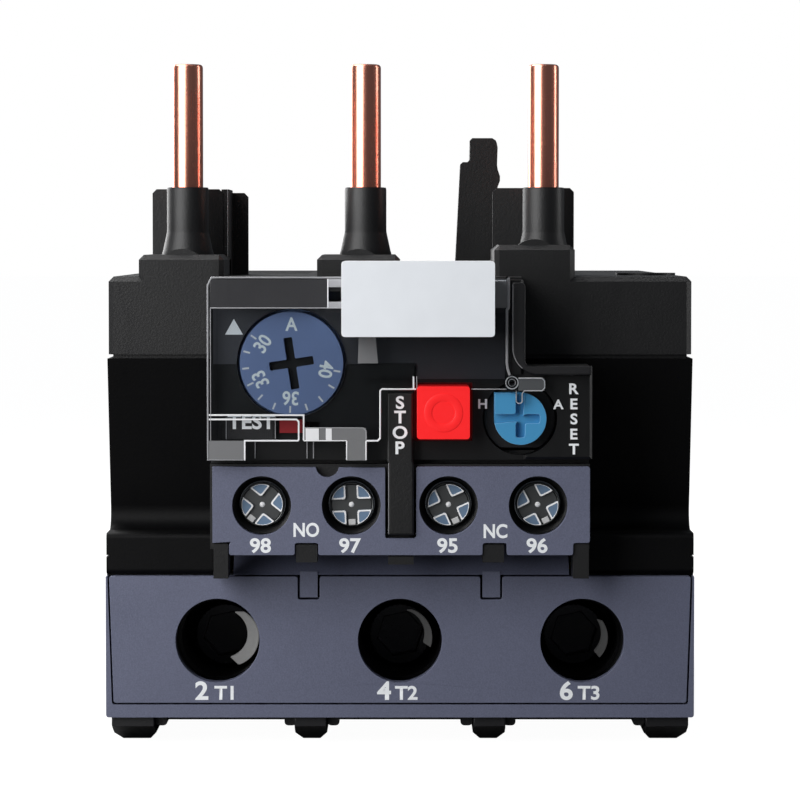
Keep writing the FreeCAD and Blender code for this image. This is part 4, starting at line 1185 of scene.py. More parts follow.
@dataclass
class AuxTerminals:
    """Four control-wire clamps behind their blue-grey cover."""

    shop: Workshop
    hole_radius: float = 3.45 * MM
    head_radius: float = 2.6 * MM
    pad_radius: float = 2.42 * MM
    arm_half: float = 0.66 * MM
    head_floor: float = 0.5 * MM
    head_depth: float = 2.0 * MM
    shank: float = 1.45 * MM
    pitch: float = 0.5 * MM
    thread_depth: float = 0.2 * MM
    rim_share: float = 0.78
    names: tuple[str, ...] = ("98", "97", "95", "96")
    turns: tuple[float, ...] = (-38.0, 2.0, 24.0, 27.0)
    notch_top: float = 24.8 * MM
    notches: tuple[Point, ...] = ((-12.33 * MM, -9.57 * MM), (9.69 * MM, 12.5 * MM))
    shoulder: float = 1.95 * MM
    bar_slot: Point = (-1.73 * MM, 1.9 * MM)
    bar_low: float = 25.36 * MM
    thumb: Point = (-8.5 * MM, 1.36 * MM)
    marks: tuple[tuple[str, float, float], ...] = (("NO", -1.045, 26.35 * MM), ("NC", 1.065, 26.2 * MM))

    def build(self) -> None:
        """Makes the cover, screws, clamps and markings."""
        low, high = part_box("aux_cover")
        self.cover(low, high)
        for name, turn in zip(self.names, self.turns):
            self.screw(name, turn)
            self.well(name, high[1])
            self.shop.dress(f"aux_clamp_{name}", self.shop.finishes.zinc, 0.1 * MM)
            self.shop.dress(f"aux_contact_{name}", self.shop.finishes.brass, 0.08 * MM)
            x = middle(f"aux_screw_{name}").x
            self.word(name, (x - 0.15 * MM, 24.5 * MM), 1.67 * MM, low[1], 1.08)
        half = middle("aux_screw_96").x - middle("aux_screw_95").x
        for text, share, z in self.marks:
            self.word(text, (half * share, z), 1.6 * MM, low[1], 0.88)

    def well(self, name: str, surface: float) -> None:
        """Makes the dark well round one screw head.

        Args:
            name: the clamp's name.
            surface: Y of the cover's rear face.
        """
        centre = middle(f"aux_screw_{name}")
        wall, seat = self.hole_radius, self.head_radius + 0.12 * MM
        profile = beside(wall, 0.0, (0.2, 0), (0.05, 0), (0.05, 2.1)) + beside(seat, 0.0, (0, 2.35), (0, 2.5))
        profile += beside(wall, 0.0, (0.2, 2.5), (0.2, 0))
        piece = self.shop.lathe(f"clamp_well_{name}", profile, (centre.x, surface, centre.z), "Y", 72)
        self.shop.mount(piece, Body.RELAY, Slot.BLACK, self.shop.finishes.satin_black)

    def word(self, text: str, place: Point, height: float, surface: float, narrow: float) -> None:
        """Prints one mark on the cover.

        Args:
            text: what it says.
            place: its middle across and its height.
            height: height of its capitals.
            surface: Y of the cover's face.
            narrow: width as a share of the font's own.
        """
        piece = self.shop.lettering(f"aux_mark_{text}", text, *place, height, surface, narrow=narrow)
        self.shop.mount(piece, Body.RELAY, Slot.WHITE, self.shop.finishes.ink)

    def cover(self, low: Vector, high: Vector) -> None:
        """Makes the cover plate with holes, notches and its thumb recess.

        Args:
            low: low corner of the CAD cover.
            high: its high corner.
        """
        left, right, bottom, top, notch = low[0], high[0], low[2], high[2], self.notch_top
        inner_left, inner_right = left + self.shoulder, right - self.shoulder
        outline = [(inner_left, notch), (inner_left, bottom)]
        for start, stop in self.notches:
            outline += [(start, bottom), (start, notch), (stop, notch), (stop, bottom)]
        bar_left, bar_right = self.bar_slot
        outline += [(inner_right, bottom), (inner_right, notch), (right, notch), (right, top)]
        outline += [(bar_right, top), (bar_right, self.bar_low), (bar_left, self.bar_low), (bar_left, top)]
        thumb_x, thumb_radius = self.thumb
        recess = arc(thumb_x, top + 0.1 * MM, thumb_radius, -8.0, -172.0, 10)
        loops = [rounded(outline, 0.3 * MM, 3) + recess + [(left, top), (left, notch)]]
        screws = [middle(f"aux_screw_{name}") for name in self.names]
        loops += [circle(screw.x, screw.z, self.hole_radius, 80) for screw in screws]
        piece = self.shop.plate("aux_face", loops, low[1], high[1], 0.2 * MM)
        self.shop.mount(piece, Body.RELAY, Slot.GREY, self.shop.finishes.grey, stands_for=["aux_cover"])

    def screw(self, name: str, turn: float) -> None:
        """Makes one clamp screw with its cross slot.

        Args:
            name: the clamp's name.
            turn: the slot's turn in degrees.
        """
        node, body = f"aux_screw_{name}", f"clamp_screw_{name}"
        low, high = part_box(node)
        centre = middle(node)
        x, z, front = centre.x, centre.z, low[1]
        finishes = self.shop.finishes
        for number in range(4):
            stands = [] if number else [node]
            self.pad(f"{name}_{number}", self.quadrant(x, z, turn + 90 * number), front, body, stands)
        self.painted_highlight_heel(name, Vector((x, z)), turn - 90, front)
        rim = [circle(x, z, self.head_radius, 72), circle(x, z, self.head_radius - 0.2 * MM, 72)]
        crown = self.shop.plate(f"clamp_rim_{name}", rim, front + 0.5 * MM, front + 1.25 * MM, 0.08 * MM, 2)
        self.shop.mount(crown, body, Slot.ZINC, finishes.recess)
        # Painted glint: a small white dome at the head's centre.
        dome = beside(0.0, 0.0, (0, 0.34), (0.16, 0.38), (0.32, 0.5), (0.4, 0.62))
        cone = self.shop.lathe(f"clamp_painted_glint_{name}", dome, (x, front, z), "Y", 40)
        self.shop.mount(cone, body, Slot.ZINC, finishes.painted_head_highlight)
        profile = self.stem(high[1] - front)
        stem = self.shop.lathe(f"clamp_stem_{name}", profile, (x, front, z), "Y", 56)
        self.shop.mount(stem, body, Slot.ZINC, finishes.recess)

    def pad(self, name: str, outline: list[Point], front: float, body: str, stands: list[str]) -> None:
        """Makes one raised quarter of a screw head and the painted highlight rim round it; the quarter's
        rounded edges carry a painted highlight too.

        Args:
            name: ending of the pieces' names.
            outline: the quarter's outline.
            front: Y of the head's face.
            body: the screw's body.
            stands: CAD nodes that the quarter stands for.
        """
        finishes, start, end = self.shop.finishes, front + 0.04 * MM, front + 0.55 * MM
        pad = self.shop.plate(f"clamp_pad_{name}", [outline], start, end, 0.1 * MM, 3, 1)
        self.shop.mount(pad, body, Slot.ZINC, finishes.head, finishes.painted_head_highlight, stands_for=stands)
        # A flat white ring round the quarter: painted highlight.
        heart = sum((Vector(point) for point in outline), Vector((0.0, 0.0))) / len(outline)
        inside = [tuple(heart + (Vector(point) - heart) * self.rim_share) for point in outline]
        edge = self.shop.plate(f"clamp_painted_highlight_rim_{name}", [outline, inside], front, front + 0.2 * MM, 0.05 * MM, 2)
        self.shop.mount(edge, body, Slot.ZINC, finishes.painted_head_highlight)

    def painted_highlight_heel(self, name: str, centre: Vector, angle: float, front: float) -> None:
        """Makes a painted highlight at the end of one arm of the slot: a small glowing block.

        Args:
            name: the clamp's name.
            centre: the head's centre.
            angle: direction of the arm in degrees.
            front: Y of the head's face.
        """
        across = Vector(polar(0.0, 0.0, 1.0, angle))
        side = Vector((-across.y, across.x)) * 0.42 * MM
        near, far = centre + across * 1.72 * MM, centre + across * 2.4 * MM
        outline = [tuple(point) for point in (near - side, far - side, far + side, near + side)]
        # Painted highlight: this block glows in the lighter wall grey.
        face = front + 0.3 * MM
        piece = self.shop.plate(f"clamp_painted_highlight_heel_{name}", [outline], face, front + 0.6 * MM, 0.08 * MM)
        self.shop.mount(piece, f"clamp_screw_{name}", Slot.ZINC, self.shop.finishes.painted_highlight_wall)

    def stem(self, reach: float) -> list[Point]:
        """Gives the turned outline of a screw behind its face.

        Args:
            reach: length of the screw.

        Returns:
            Radius and depth of each point.
        """
        side, shank, step = self.head_radius - 0.08 * MM, self.shank, self.pitch
        profile = [(0, self.head_floor), (self.head_radius - 0.3 * MM, self.head_floor),
                   (side, self.head_floor + 0.35 * MM), (side, self.head_depth), (shank, self.head_depth)]
        for turn in range(int((reach - 2.6 * MM) / step)):
            base = 2.3 * MM + turn * step
            root = (shank - self.thread_depth, base + step * 0.5)
            profile += [(shank, base), root, (shank, base + step * 0.92)]
        return profile + [(shank - 0.3 * MM, reach), (0, reach)]

    def quadrant(self, x: float, z: float, turn: float) -> list[Point]:
        """Gives the outline of one raised quarter of a screw head.

        Args:
            x: centre of the head across.
            z: height of its centre.
            turn: angle of the quarter's first side, in degrees.

        Returns:
            The rounded outline.
        """
        gap, radius = self.arm_half, self.pad_radius
        reach = math.sqrt(radius * radius - gap * gap)
        first = math.degrees(math.asin(gap / radius))
        raw = [(gap, gap), (reach, gap)] + arc(0.0, 0.0, radius, first, 90 - first, 8)[1:-1] + [(gap, reach)]
        cosine, sine = polar(0.0, 0.0, 1.0, turn)
        return rounded([(x + a * cosine - b * sine, z + a * sine + b * cosine) for a, b in raw], 0.3 * MM, 3)


@dataclass
class ControlFace:
    """Fascia with its dial, buttons, knob and function names."""

    shop: Workshop
    field_depth: float = 2.4 * MM
    dial_radius: float = 6.05 * MM
    dial_step: float = 2.6 * MM
    dial_slot: tuple[float, ...] = (2.6 * MM, 3.05 * MM, 0.5 * MM, 8.4)
    tick_count: int = 11
    tick_start: float = 55.3
    tick_step: float = 20.5
    tick_ends: Point = (5.0 * MM, 5.8 * MM)
    tick_half: float = 0.105 * MM
    numerals: dict[int, str] = field(default_factory=lambda: {0: "30", 3: "33", 6: "36", 10: "40"})
    stop_half: float = 3.08 * MM
    knob_radius: float = 3.04 * MM
    knob_half: float = 0.55 * MM
    skirt_radius: float = 4.2 * MM
    comb_pitch: float = 0.235 * MM
    comb_count: int = 22
    comb_left: float = -20.1 * MM
    comb_span: Point = (37.0 * MM, 39.5 * MM)
    test_sides: tuple[Point, Point] = ((-20.3 * MM, -14.75 * MM), (36.95 * MM, 39.6 * MM))
    test_lines: tuple[tuple[str, float, float], ...] = (
        ("left", -20.35 * MM, 0.09 * MM), ("right", -14.6 * MM, 0.12 * MM))
    low_ridges: tuple[float, ...] = (-17.0 * MM, -10.9 * MM, -10.15 * MM)
    stop_rows: tuple[float, ...] = (41.3, 39.6, 37.8, 36.0)
    reset_rows: tuple[float, ...] = (42.88, 41.11, 39.35, 37.58, 35.82)
    ridge: float = 0.05 * MM
    field_edges: tuple[float, ...] = (-21.9 * MM, 12.3 * MM, 45.72 * MM, 52.3 * MM)
    rim_edges: tuple[float, ...] = (13.05 * MM, 14.62 * MM, 44.5 * MM, 45.5 * MM)
    rim_end: float = 22.35 * MM
    rim_top: float = 55.3 * MM
    rim_bend: float = 3.2 * MM

    @property
    def face(self) -> float:
        """Y of the fascia's flat field."""
        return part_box("control_fascia")[0][1] + self.field_depth

    def build(self) -> None:
        """Makes everything on the control face."""
        finishes = self.shop.finishes
        self.shop.dress("control_fascia", finishes.satin_black, 0.12 * MM)
        self.shop.dress("stop_guide_bar", finishes.casing, 0.1 * MM)
        self.shop.dress("cover_hinge_pin", finishes.spring)
        self.field()
        self.rim()
        self.dial()
        self.stop()
        self.reset()
        self.test()
        self.ribs()
        self.words()

    def dial(self) -> None:
        """Makes the setting dial with its slot, ticks and numerals."""
        low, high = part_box("current_dial")
        centre = middle("current_dial")
        x, z, front = centre.x, centre.z, low[1]
        radius, rear, paint = self.dial_radius, high[1] - front, self.shop.finishes.dial
        loops = [circle(x, z, radius, 120), rounded(cross(x, z, *self.dial_slot), 0.15 * MM, 3)]
        disc = self.shop.plate("dial_face", loops, front, front + 1.2 * MM, 0.22 * MM, 4)
        self.shop.mount(disc, Body.DIAL, Slot.DIAL, paint, stands_for=["current_dial"])
        side = radius - 0.05 * MM
        profile = [(0, 1.18 * MM), (side, 1.18 * MM), (side, self.dial_step), (4.0 * MM, self.dial_step)]
        profile += beside(0.0, 0.0, (4.0, 3.35), (6.6, 3.35), (6.6, 4.35), (2.0, 4.35))
        profile += [(2.0 * MM, rear), (0, rear)]
        stem = self.shop.lathe("dial_stem", profile, (x, front, z), "Y", 96)
        self.shop.mount(stem, Body.DIAL, Slot.DIAL, paint)
        base = circle(x, z, 3.5 * MM, 48)
        floor = self.shop.plate("dial_slot_floor", [base], front + 1.12 * MM, front + 1.17 * MM)
        self.shop.mount(floor, Body.DIAL, Slot.BLACK, self.shop.finishes.satin_black)
        lobe = circle(x + 1.1 * MM, z, 3.4 * MM, 64)
        cam = self.shop.plate("dial_cam", [lobe], front + 10 * MM, front + 13 * MM, 0.2 * MM)
        self.shop.mount(cam, Body.DIAL, Slot.DIAL, paint)
        for number in range(self.tick_count):
            angle = self.tick_start + number * self.tick_step
            self.tick(centre, front, angle, number)
            if number in self.numerals:
                self.lettered(self.numerals[number], centre, front, angle, (4.1 * MM, 1.6 * MM))
        self.lettered("A", centre, front, 0.0, (4.6 * MM, 1.57 * MM))

    def lettered(self, words: str, centre: Vector, front: float, angle: float, size: Point) -> None:
        """Prints words on the dial with their tops outward.

        Args:
            words: what is printed.
            centre: the dial's centre.
            front: Y of its face.
            angle: turn from the top in degrees, anticlockwise.
            size: distance from the centre and height of the capitals.
        """
        radius, height = size
        place = polar(centre.x, centre.z, radius, angle + 90)
        piece = self.shop.lettering(f"dial_{words}", words, *place, height, front, angle, 0.03, 0.9)
        self.shop.mount(piece, Body.DIAL, Slot.WHITE, self.shop.finishes.dial_ink)

    def tick(self, centre: Vector, front: float, angle: float, number: int) -> None:
        """Prints one scale line.

        Args:
            centre: the dial's centre.
            front: Y of its face.
            angle: turn from the top in degrees, anticlockwise.
            number: the line's number.
        """
        inner, outer = (Vector(polar(centre.x, centre.z, radius, angle + 90)) for radius in self.tick_ends)
        across = Vector(polar(0.0, 0.0, self.tick_half, angle))
        outline = [tuple(point) for point in (inner - across, inner + across, outer + across, outer - across)]
        line = self.shop.plate(f"dial_tick_{number}", [outline], front - 0.015 * MM, front + SINK)
        self.shop.mount(line, Body.DIAL, Slot.WHITE, self.shop.finishes.ink)

    def stop(self) -> None:
        """Makes the red stop button."""
        low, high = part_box("stop_button")
        centre = middle("stop_button")
        x, z, front = centre.x, centre.z, low[1]
        half, rear, red = self.stop_half, high[1] - front, self.shop.finishes.red
        outline = rounded(rectangle((x - half, x + half), (z - half, z + half)), 0.4 * MM, 5)
        cap = self.shop.plate("stop_cap", [outline], front, front + 6.0 * MM, 0.36 * MM, 5)
        self.shop.mount(cap, Body.STOP, Slot.RED, red, stands_for=["stop_button"])
        profile = beside(0.0, 0.0, (1.33, 0.02), (1.37, -0.05), (1.45, -0.07), (2.1, -0.07), (2.22, -0.05),
                         (2.3, 0.02))
        ring = self.shop.lathe("stop_ring", profile, (x, front, z), "Y", 80)
        self.shop.mount(ring, Body.STOP, Slot.RED, red)
        wide = half + 0.65 * MM
        shape = rectangle((x - wide, x + wide), (z - wide, z + wide))
        # The flange behind the cap takes the dark red of the test lever, painted shade in the gap round the
        # cap.
        back = self.shop.plate("stop_flange", [shape], front + 5.85 * MM, front + 6.85 * MM, 0.1 * MM)
        self.shop.mount(back, Body.STOP, Slot.RED, self.shop.finishes.tab_red)
        profile = beside(0.0, 0.0, (0, 6.0), (1.6, 6.0)) + beside(0.0, rear, (1.6, -0.3), (1.3, 0), (0, 0))
        stem = self.shop.lathe("stop_stem", profile, (x, front, z), "Y", 48)
        self.shop.mount(stem, Body.STOP, Slot.RED, red)
        self.shop.dress("stop_spring", self.shop.finishes.spring)

    def reset(self) -> None:
        """Makes the blue reset knob, its plunger and spring."""
        low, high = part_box("reset_knob")
        radius, half = self.knob_radius, self.knob_half
        x, z, front, rear = high[0] - radius, low[2] + radius, low[1], high[1] - low[1]
        # The second finish here is a lighter blue, a painted highlight on the knob's rounded edges.
        blue, light = self.shop.finishes.blue, self.shop.finishes.blue_painted_highlight
        start, turn = math.degrees(math.acos(half / radius)), math.degrees(math.asin(half / radius))
        foot, end = z - 2.2 * MM, x + 2.3 * MM
        slot = [(x - half, z - half), (x - half, foot), (x + half, foot), (x + half, z - half),
                (end, z - half), (end, z + half), (x + half, z + half)]
        shape = arc(x, z, radius, start, turn - 180, 60) + rounded(slot, 0.32 * MM, 4)
        face = self.shop.plate("reset_face", [shape], front, front + 1.4 * MM, 0.14 * MM, 3, 1)
        self.shop.mount(face, Body.RESET_CAP, Slot.BLUE, blue, light, stands_for=["reset_knob"])
        edge = math.sqrt(radius * radius - half * half)
        corner = rounded(rectangle((x - edge, x - half), (z + half, z + edge)), 0.3 * MM, 4)
        quarter = self.shop.plate("reset_corner", [corner], front, front + 1.4 * MM, 0.14 * MM, 3, 1)
        self.shop.mount(quarter, Body.RESET_CAP, Slot.BLUE, blue, light)
        full = circle(x, z, radius, 80)
        drop = full[40:] + full[:21] + [(x - radius, z + radius)]
        base = self.shop.plate("reset_cap_base", [drop], front + 1.0 * MM, front + 3.4 * MM, 0.1 * MM)
        self.shop.mount(base, Body.RESET_CAP, Slot.BLUE, blue)
        profile = [(0, 3.2 * MM), (0.9 * MM, 3.2 * MM), (0.9 * MM, rear), (0, rear)]
        pin = self.shop.lathe("reset_spindle", profile, (x, front, z), "Y", 32)
        self.shop.mount(pin, Body.RESET_CAP, Slot.BLUE, blue)
        self.shop.dress("reset_plunger", self.shop.finishes.casing, 0.1 * MM)
        seat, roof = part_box("reset_plunger")
        ring = [(px, min(max(pz, seat[2]), roof[2])) for px, pz in circle(x, z, self.skirt_radius, 72)]
        skirt = self.shop.plate("reset_skirt", [ring], seat[1] - 0.38 * MM, seat[1], 0.1 * MM)
        self.shop.mount(skirt, Body.RESET, Slot.BLACK, self.shop.finishes.panel)
        self.shop.dress("reset_spring", self.shop.finishes.spring)

    def test(self) -> None:
        """Dresses the red test lever and makes the ribbed bar beside it, with painted highlight lines along
        its sides.
        """
        finishes = self.shop.finishes
        self.shop.dress("test_lever", finishes.tab_red, 0.08 * MM)
        surface = self.face - 0.9 * MM
        outline = rectangle(*self.test_sides)
        bar = self.shop.plate("test_bar", [outline], surface, self.face + SINK, self.ridge)
        self.shop.mount(bar, Body.RELAY, Slot.BLACK, finishes.panel)
        pitch, span = self.comb_pitch, self.comb_span
        places = [self.comb_left + number * pitch for number in range(self.comb_count)]
        teeth = [rectangle((place, place + 0.5 * pitch), span) for place in places]
        comb = self.shop.plate("test_ribs", teeth, surface - self.ridge, surface + SINK)
        self.shop.mount(comb, Body.RELAY, Slot.BLACK, finishes.smoked_bar)
        for name, x, width in self.test_lines:
            line = self.shop.trim(f"test_side_{name}", [(x, z) for z in span], width, surface, self.ridge)
            self.shop.mount(line, Body.RELAY, Slot.BLACK, finishes.grey_painted_highlight)

    def ribs(self) -> None:
        """Makes the fine ridges round the dial, under the lever and along the stop bar, coloured as painted
        highlight lines.
        """
        dial = middle("current_dial")
        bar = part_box("stop_guide_bar")[0][1]
        bend = arc(dial.x, dial.z, 6.33 * MM, 0.0, -80.0, 10)
        routes = [("dial", bend, self.face, 0.07),
                  ("bar", beside(-1.33 * MM, 0.0, (0, 25.9), (0, 34.2)), bar, 0.07)]
        routes += [(f"low_{number}", beside(x, 0.0, (0, 34.65), (0, 36.6)), self.face, 0.12)
                   for number, x in enumerate(self.low_ridges, 1)]
        for name, route, surface, width in routes:
            line = self.shop.trim(f"ridge_{name}", route, width * MM, surface, self.ridge)
            self.shop.mount(line, Body.RELAY, Slot.BLACK, self.shop.finishes.grey_painted_highlight)

    def field(self) -> None:
        """Makes the lighter field of the fascia behind the cover, a painted sheen."""
        dial = middle("current_dial")
        left, right, low, top = self.field_edges
        bend = arc(dial.x, dial.z, 6.45 * MM, 180.0, 0.0, 24)
        outline = [(left, low), (bend[0][0], low)] + bend[1:-1]
        outline += [(bend[-1][0], low), (1.5 * MM, low), (1.9 * MM, low - 0.4 * MM), (1.9 * MM, 43.98 * MM),
                    (right, 43.98 * MM), (right, top), (left, top)]
        piece = self.shop.plate("fascia_field", [outline], self.face - 0.03 * MM, self.face + SINK)
        self.shop.mount(piece, Body.RELAY, Slot.BLACK, self.shop.finishes.painted_sheen)

    def rim(self) -> None:
        """Makes the raised rim that guards the right edge of the cover, with a painted highlight line along
        its inner edge.
        """
        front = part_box("control_fascia")[0][1]
        left, right, inner, shelf = self.rim_edges
        end, top, bend = self.rim_end, self.rim_top, self.rim_bend
        path = [(left, top), (right - 0.3 * MM, top), (right, top - 0.3 * MM)]
        path += beside(right, shelf, (0, 0.6), (0.18, 0.18), (0.6, 0))
        path += [(end, shelf), (end, inner), (left + bend, inner)]
        bow = arc(left + bend, inner + bend, bend, 270.0, 180.0, 9)[1:]
        piece = self.shop.plate("fascia_rim", [path + bow], front, front + 1.2 * MM, 0.22 * MM, 4)
        self.shop.mount(piece, Body.RELAY, Slot.BLACK, self.shop.finishes.panel)
        line = [(left + 0.1 * MM, top - 0.2 * MM), (left + 0.1 * MM, inner + bend)]
        line += [(x + 0.08 * MM, z + 0.06 * MM) for x, z in reversed(bow[3:-1])]
        edge = self.shop.trim("fascia_rim_line", line, 0.1 * MM, front, 0.03 * MM)
        self.shop.mount(edge, Body.RELAY, Slot.BLACK, self.shop.finishes.grey_painted_highlight)

    def words(self) -> None:
        """Prints the function names and the index triangle."""
        surface = self.face
        raised = surface - 1.2 * MM
        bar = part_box("stop_guide_bar")[0][1]
        for letter, z in zip("STOP", self.stop_rows):
            self._print(f"stop_{letter}", letter, 0.0, z, 1.46, bar)
        for index, (letter, z) in enumerate(zip("RESET", self.reset_rows)):
            self._print(f"reset_{index}", letter, 20.35, z, 1.24, raised)
        self._print("mode_hand", "H", 9.69, 41.06, 1.1, surface)
        self._print("mode_auto", "A", 18.52, 41.06, 1.1, raised)
        self._print("test_word", "TEST", -17.4, 39.02, 1.7, surface - 0.96 * MM)
        triangle = beside(0.0, 0.0, (-19.47, 51.04), (-20.5, 49.19), (-18.4, 49.19))
        index_mark = self.shop.plate("dial_index", [triangle], surface - 0.06 * MM, surface + SINK)
        self.shop.mount(index_mark, Body.RELAY, Slot.WHITE, self.shop.finishes.ink)

    def _print(self, name: str, text: str, x: float, z: float, height: float, surface: float) -> None:
        """Prints one word on the fixed face.

        Args:
            name: ending of the piece's name.
            text: what is printed.
            x: its middle across, in millimetres.
            z: height of its middle, in millimetres.
            height: height of its capitals, in millimetres.
            surface: Y of the face, in the scene's own unit.
        """
        piece = self.shop.lettering(f"word_{name}", text, x * MM, z * MM, height * MM, surface)
        self.shop.mount(piece, Body.RELAY, Slot.WHITE, self.shop.finishes.ink)


@dataclass
class ClearCover:
    """Hinged see-through cover with the white label plate."""

    shop: Workshop
    edge: float = 0.16 * MM
    line: float = 0.2 * MM
    middling: float = 0.14 * MM
    fine: float = 0.09 * MM
    raised: float = 0.07 * MM
    soft: float = 0.03 * MM
    window_top: float = 39.87 * MM
    window_right: float = -11.22 * MM
    strip_bottom: float = 36.88 * MM
    strip_top: float = 38.38 * MM
    foot_left: float = -18.1 * MM
    leg: Point = (-6.2 * MM, -3.95 * MM)
    corner: float = -2.3 * MM
    lip: float = 42.9 * MM
    lip_left: float = 8.3 * MM
    step: float = 1.9 * MM
    bar: float = 52.36 * MM
    bar_right: float = -6.6 * MM
    right: float = 12.45 * MM
    ring: Point = (13.05 * MM, 43.65 * MM)
    clip_left: float = -8.4 * MM
    clip_gap: Point = (53.1 * MM, 54.78 * MM)
    bright_bars: tuple[Point, ...] = ((-11.0 * MM, -9.45 * MM), (-8.65 * MM, -7.95 * MM))

    def build(self) -> None:
        """Makes the cover's panes, painted highlight lines, feet, clips and ring, and the label plate."""
        finishes = self.shop.finishes
        # The cover's rounded edges get a painted highlight in a paler clear.
        self.shop.dress("clear_cover", finishes.clear, self.edge, 3, finishes.clear_painted_highlight)
        low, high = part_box("clear_cover")
        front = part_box("label_plate")[1][1]
        self.panes(low, high, front)
        self.outline(low, high, front)
        self.window(low, front)
        self.feet(low, front)
        self.strip(front)
        self.clips(high, front)
        self.pivot(high, front)
        self.label()

    def pane(self, name: str, outline: Sequence[Point], front: float, finish: Any, bevel: float) -> None:
        """Lays a thin see-through sheet on the cover.

        Args:
            name: the piece's name.
            outline: its corners.
            front: Y of the cover's face.
            finish: its material.
            bevel: width of its rounded edges.
        """
        piece = self.shop.plate(name, [outline], front - self.raised, front + SINK, bevel)
        self.shop.mount(piece, Body.COVER, Slot.CLEAR, finish)

    def rim(self, name: str, route: Sequence[Point], front: float, finish: Any, width: float) -> None:
        """Lays a painted highlight line along an edge of the cover.

        Args:
            name: the piece's name.
            route: the line's bends.
            front: Y of the cover's face.
            finish: its material.
            width: the line's width.
        """
        piece = self.shop.trim(name, route, width, front, self.raised + 0.05 * MM)
        self.shop.mount(piece, Body.COVER, Slot.CLEAR, finish)

    def panes(self, low: Vector, high: Vector, front: float) -> None:
        """Makes the dark bar over the hinge and the pillar below the label.

        Args:
            low: low corner of the CAD cover.
            high: its high corner.
            front: Y of its face.
        """
        bar = rectangle((low[0] + 0.4 * MM, -8.45 * MM), (self.bar + 0.08 * MM, high[2] - 0.3 * MM))
        self.pane("cover_bar", bar, front, self.shop.finishes.smoked_bar, self.soft)
        rib = beside(0.0, 0.0, (-4.9, 45.9), (-2.55, 45.9), (-2.85, 49.3), (-4.8, 49.3))
        self.pane("cover_rib", rib, front, self.shop.finishes.frosted, self.soft)

    def outline(self, low: Vector, high: Vector, front: float) -> None:
        """Makes the painted highlight lines along the outer edges of the cover.

        Args:
            low: low corner of the CAD cover.
            high: its high corner.
            front: Y of its face.
        """
        grey, bright = self.shop.finishes.grey_painted_highlight, self.shop.finishes.bright_painted_highlight
        side, top, bend, end = low[0] + 0.1 * MM, high[2] - 0.1 * MM, 0.45 * MM, self.bar_right
        route = [(side, low[2]), (side, top - 2 * bend), (side + bend, top), (end, top)]
        self.rim("cover_edge_left", route, front, grey, self.line)
        route = [(side + 0.33 * MM, self.strip_bottom), (side + 0.33 * MM, self.bar)]
        self.rim("cover_edge_inner", route, front, grey, self.fine)
        self.rim("cover_edge_bar", [(side + 0.3 * MM, self.bar), (end, self.bar)], front, grey, self.middling)
        corner, lip, base = self.corner, self.lip, self.strip_bottom
        route = [(self.leg[1], base), (corner - 0.3 * MM, base), (corner, base + 0.3 * MM),
                 (corner, lip - 0.2 * MM), (corner + 0.2 * MM, lip), (self.step, lip)]
        self.rim("cover_edge_corner", route, front, bright, self.line)
        route = beside(self.step, lip, (-0.33, 0), (-0.33, 1.5))
        self.rim("cover_edge_notch", route, front, bright, self.line)
        route = beside(self.step, lip, (0.06, 0), (0.06, 1.5))
        self.rim("cover_edge_step", route, front, grey, self.fine)
        self.rim("cover_edge_lip", [(self.lip_left, lip), (self.right, lip)], front, grey, self.middling)
        right = self.right
        bow = [(right + 0.2 * MM, top), (right + 0.2 * MM, self.bar), (right, self.bar - 0.2 * MM)]
        bow += beside(right, 0.0, (0, 46.0), (0.08, 45.3)) + beside(right, self.ring[1], (0.35, 0.85))
        self.rim("cover_edge_right", bow, front, grey, 0.3 * MM)

    def window(self, low: Vector, front: float) -> None:
        """Makes the double painted highlight line along the edge of the window over the test lever.

        Args:
            low: low corner of the CAD cover.
            front: Y of its face.
        """
        bright = self.shop.finishes.bright_painted_highlight
        side, base, top, right = low[0] + 0.2 * MM, self.strip_bottom, self.window_top, self.window_right
        self.rim("window_outer", [(side, top), (right, top), (right, base)], front, bright, self.line)
        inner_top, inner_right = top - 0.5 * MM, right - 0.58 * MM
        route = [(side, inner_top), (inner_right - 0.25 * MM, inner_top)]
        route += [(inner_right, inner_top - 0.25 * MM), (inner_right, base + 0.12 * MM)]
        route += [(inner_right - 0.12 * MM, base), (self.foot_left, base), (self.foot_left, low[2])]
        self.rim("window_inner", route, front, bright, self.line)

    def feet(self, low: Vector, front: float) -> None:
        """Makes the two frosted feet at the bottom of the cover, with painted highlight lines along their
        edges.

        Args:
            low: low corner of the CAD cover.
            front: Y of its face.
        """
        frosted, bright = self.shop.finishes.frosted, self.shop.finishes.bright_painted_highlight
        span = (low[2] + SINK, self.strip_bottom)
        left = rectangle((low[0] + 0.15 * MM, self.foot_left), span)
        self.pane("cover_foot_left", left, front, frosted, self.soft)
        self.pane("cover_foot_right", rectangle(self.leg, span), front, frosted, self.soft)
        base = low[2] + 0.08 * MM
        route = [(low[0] + 0.1 * MM, base), (self.foot_left, base)]
        self.rim("foot_edge_left", route, front, self.shop.finishes.grey_painted_highlight, self.fine)
        for name, x in zip(("inner", "outer"), self.leg):
            route = [(x, low[2] + 0.05 * MM), (x, self.strip_bottom)]
            self.rim(f"foot_edge_{name}", route, front, bright, 0.16 * MM)

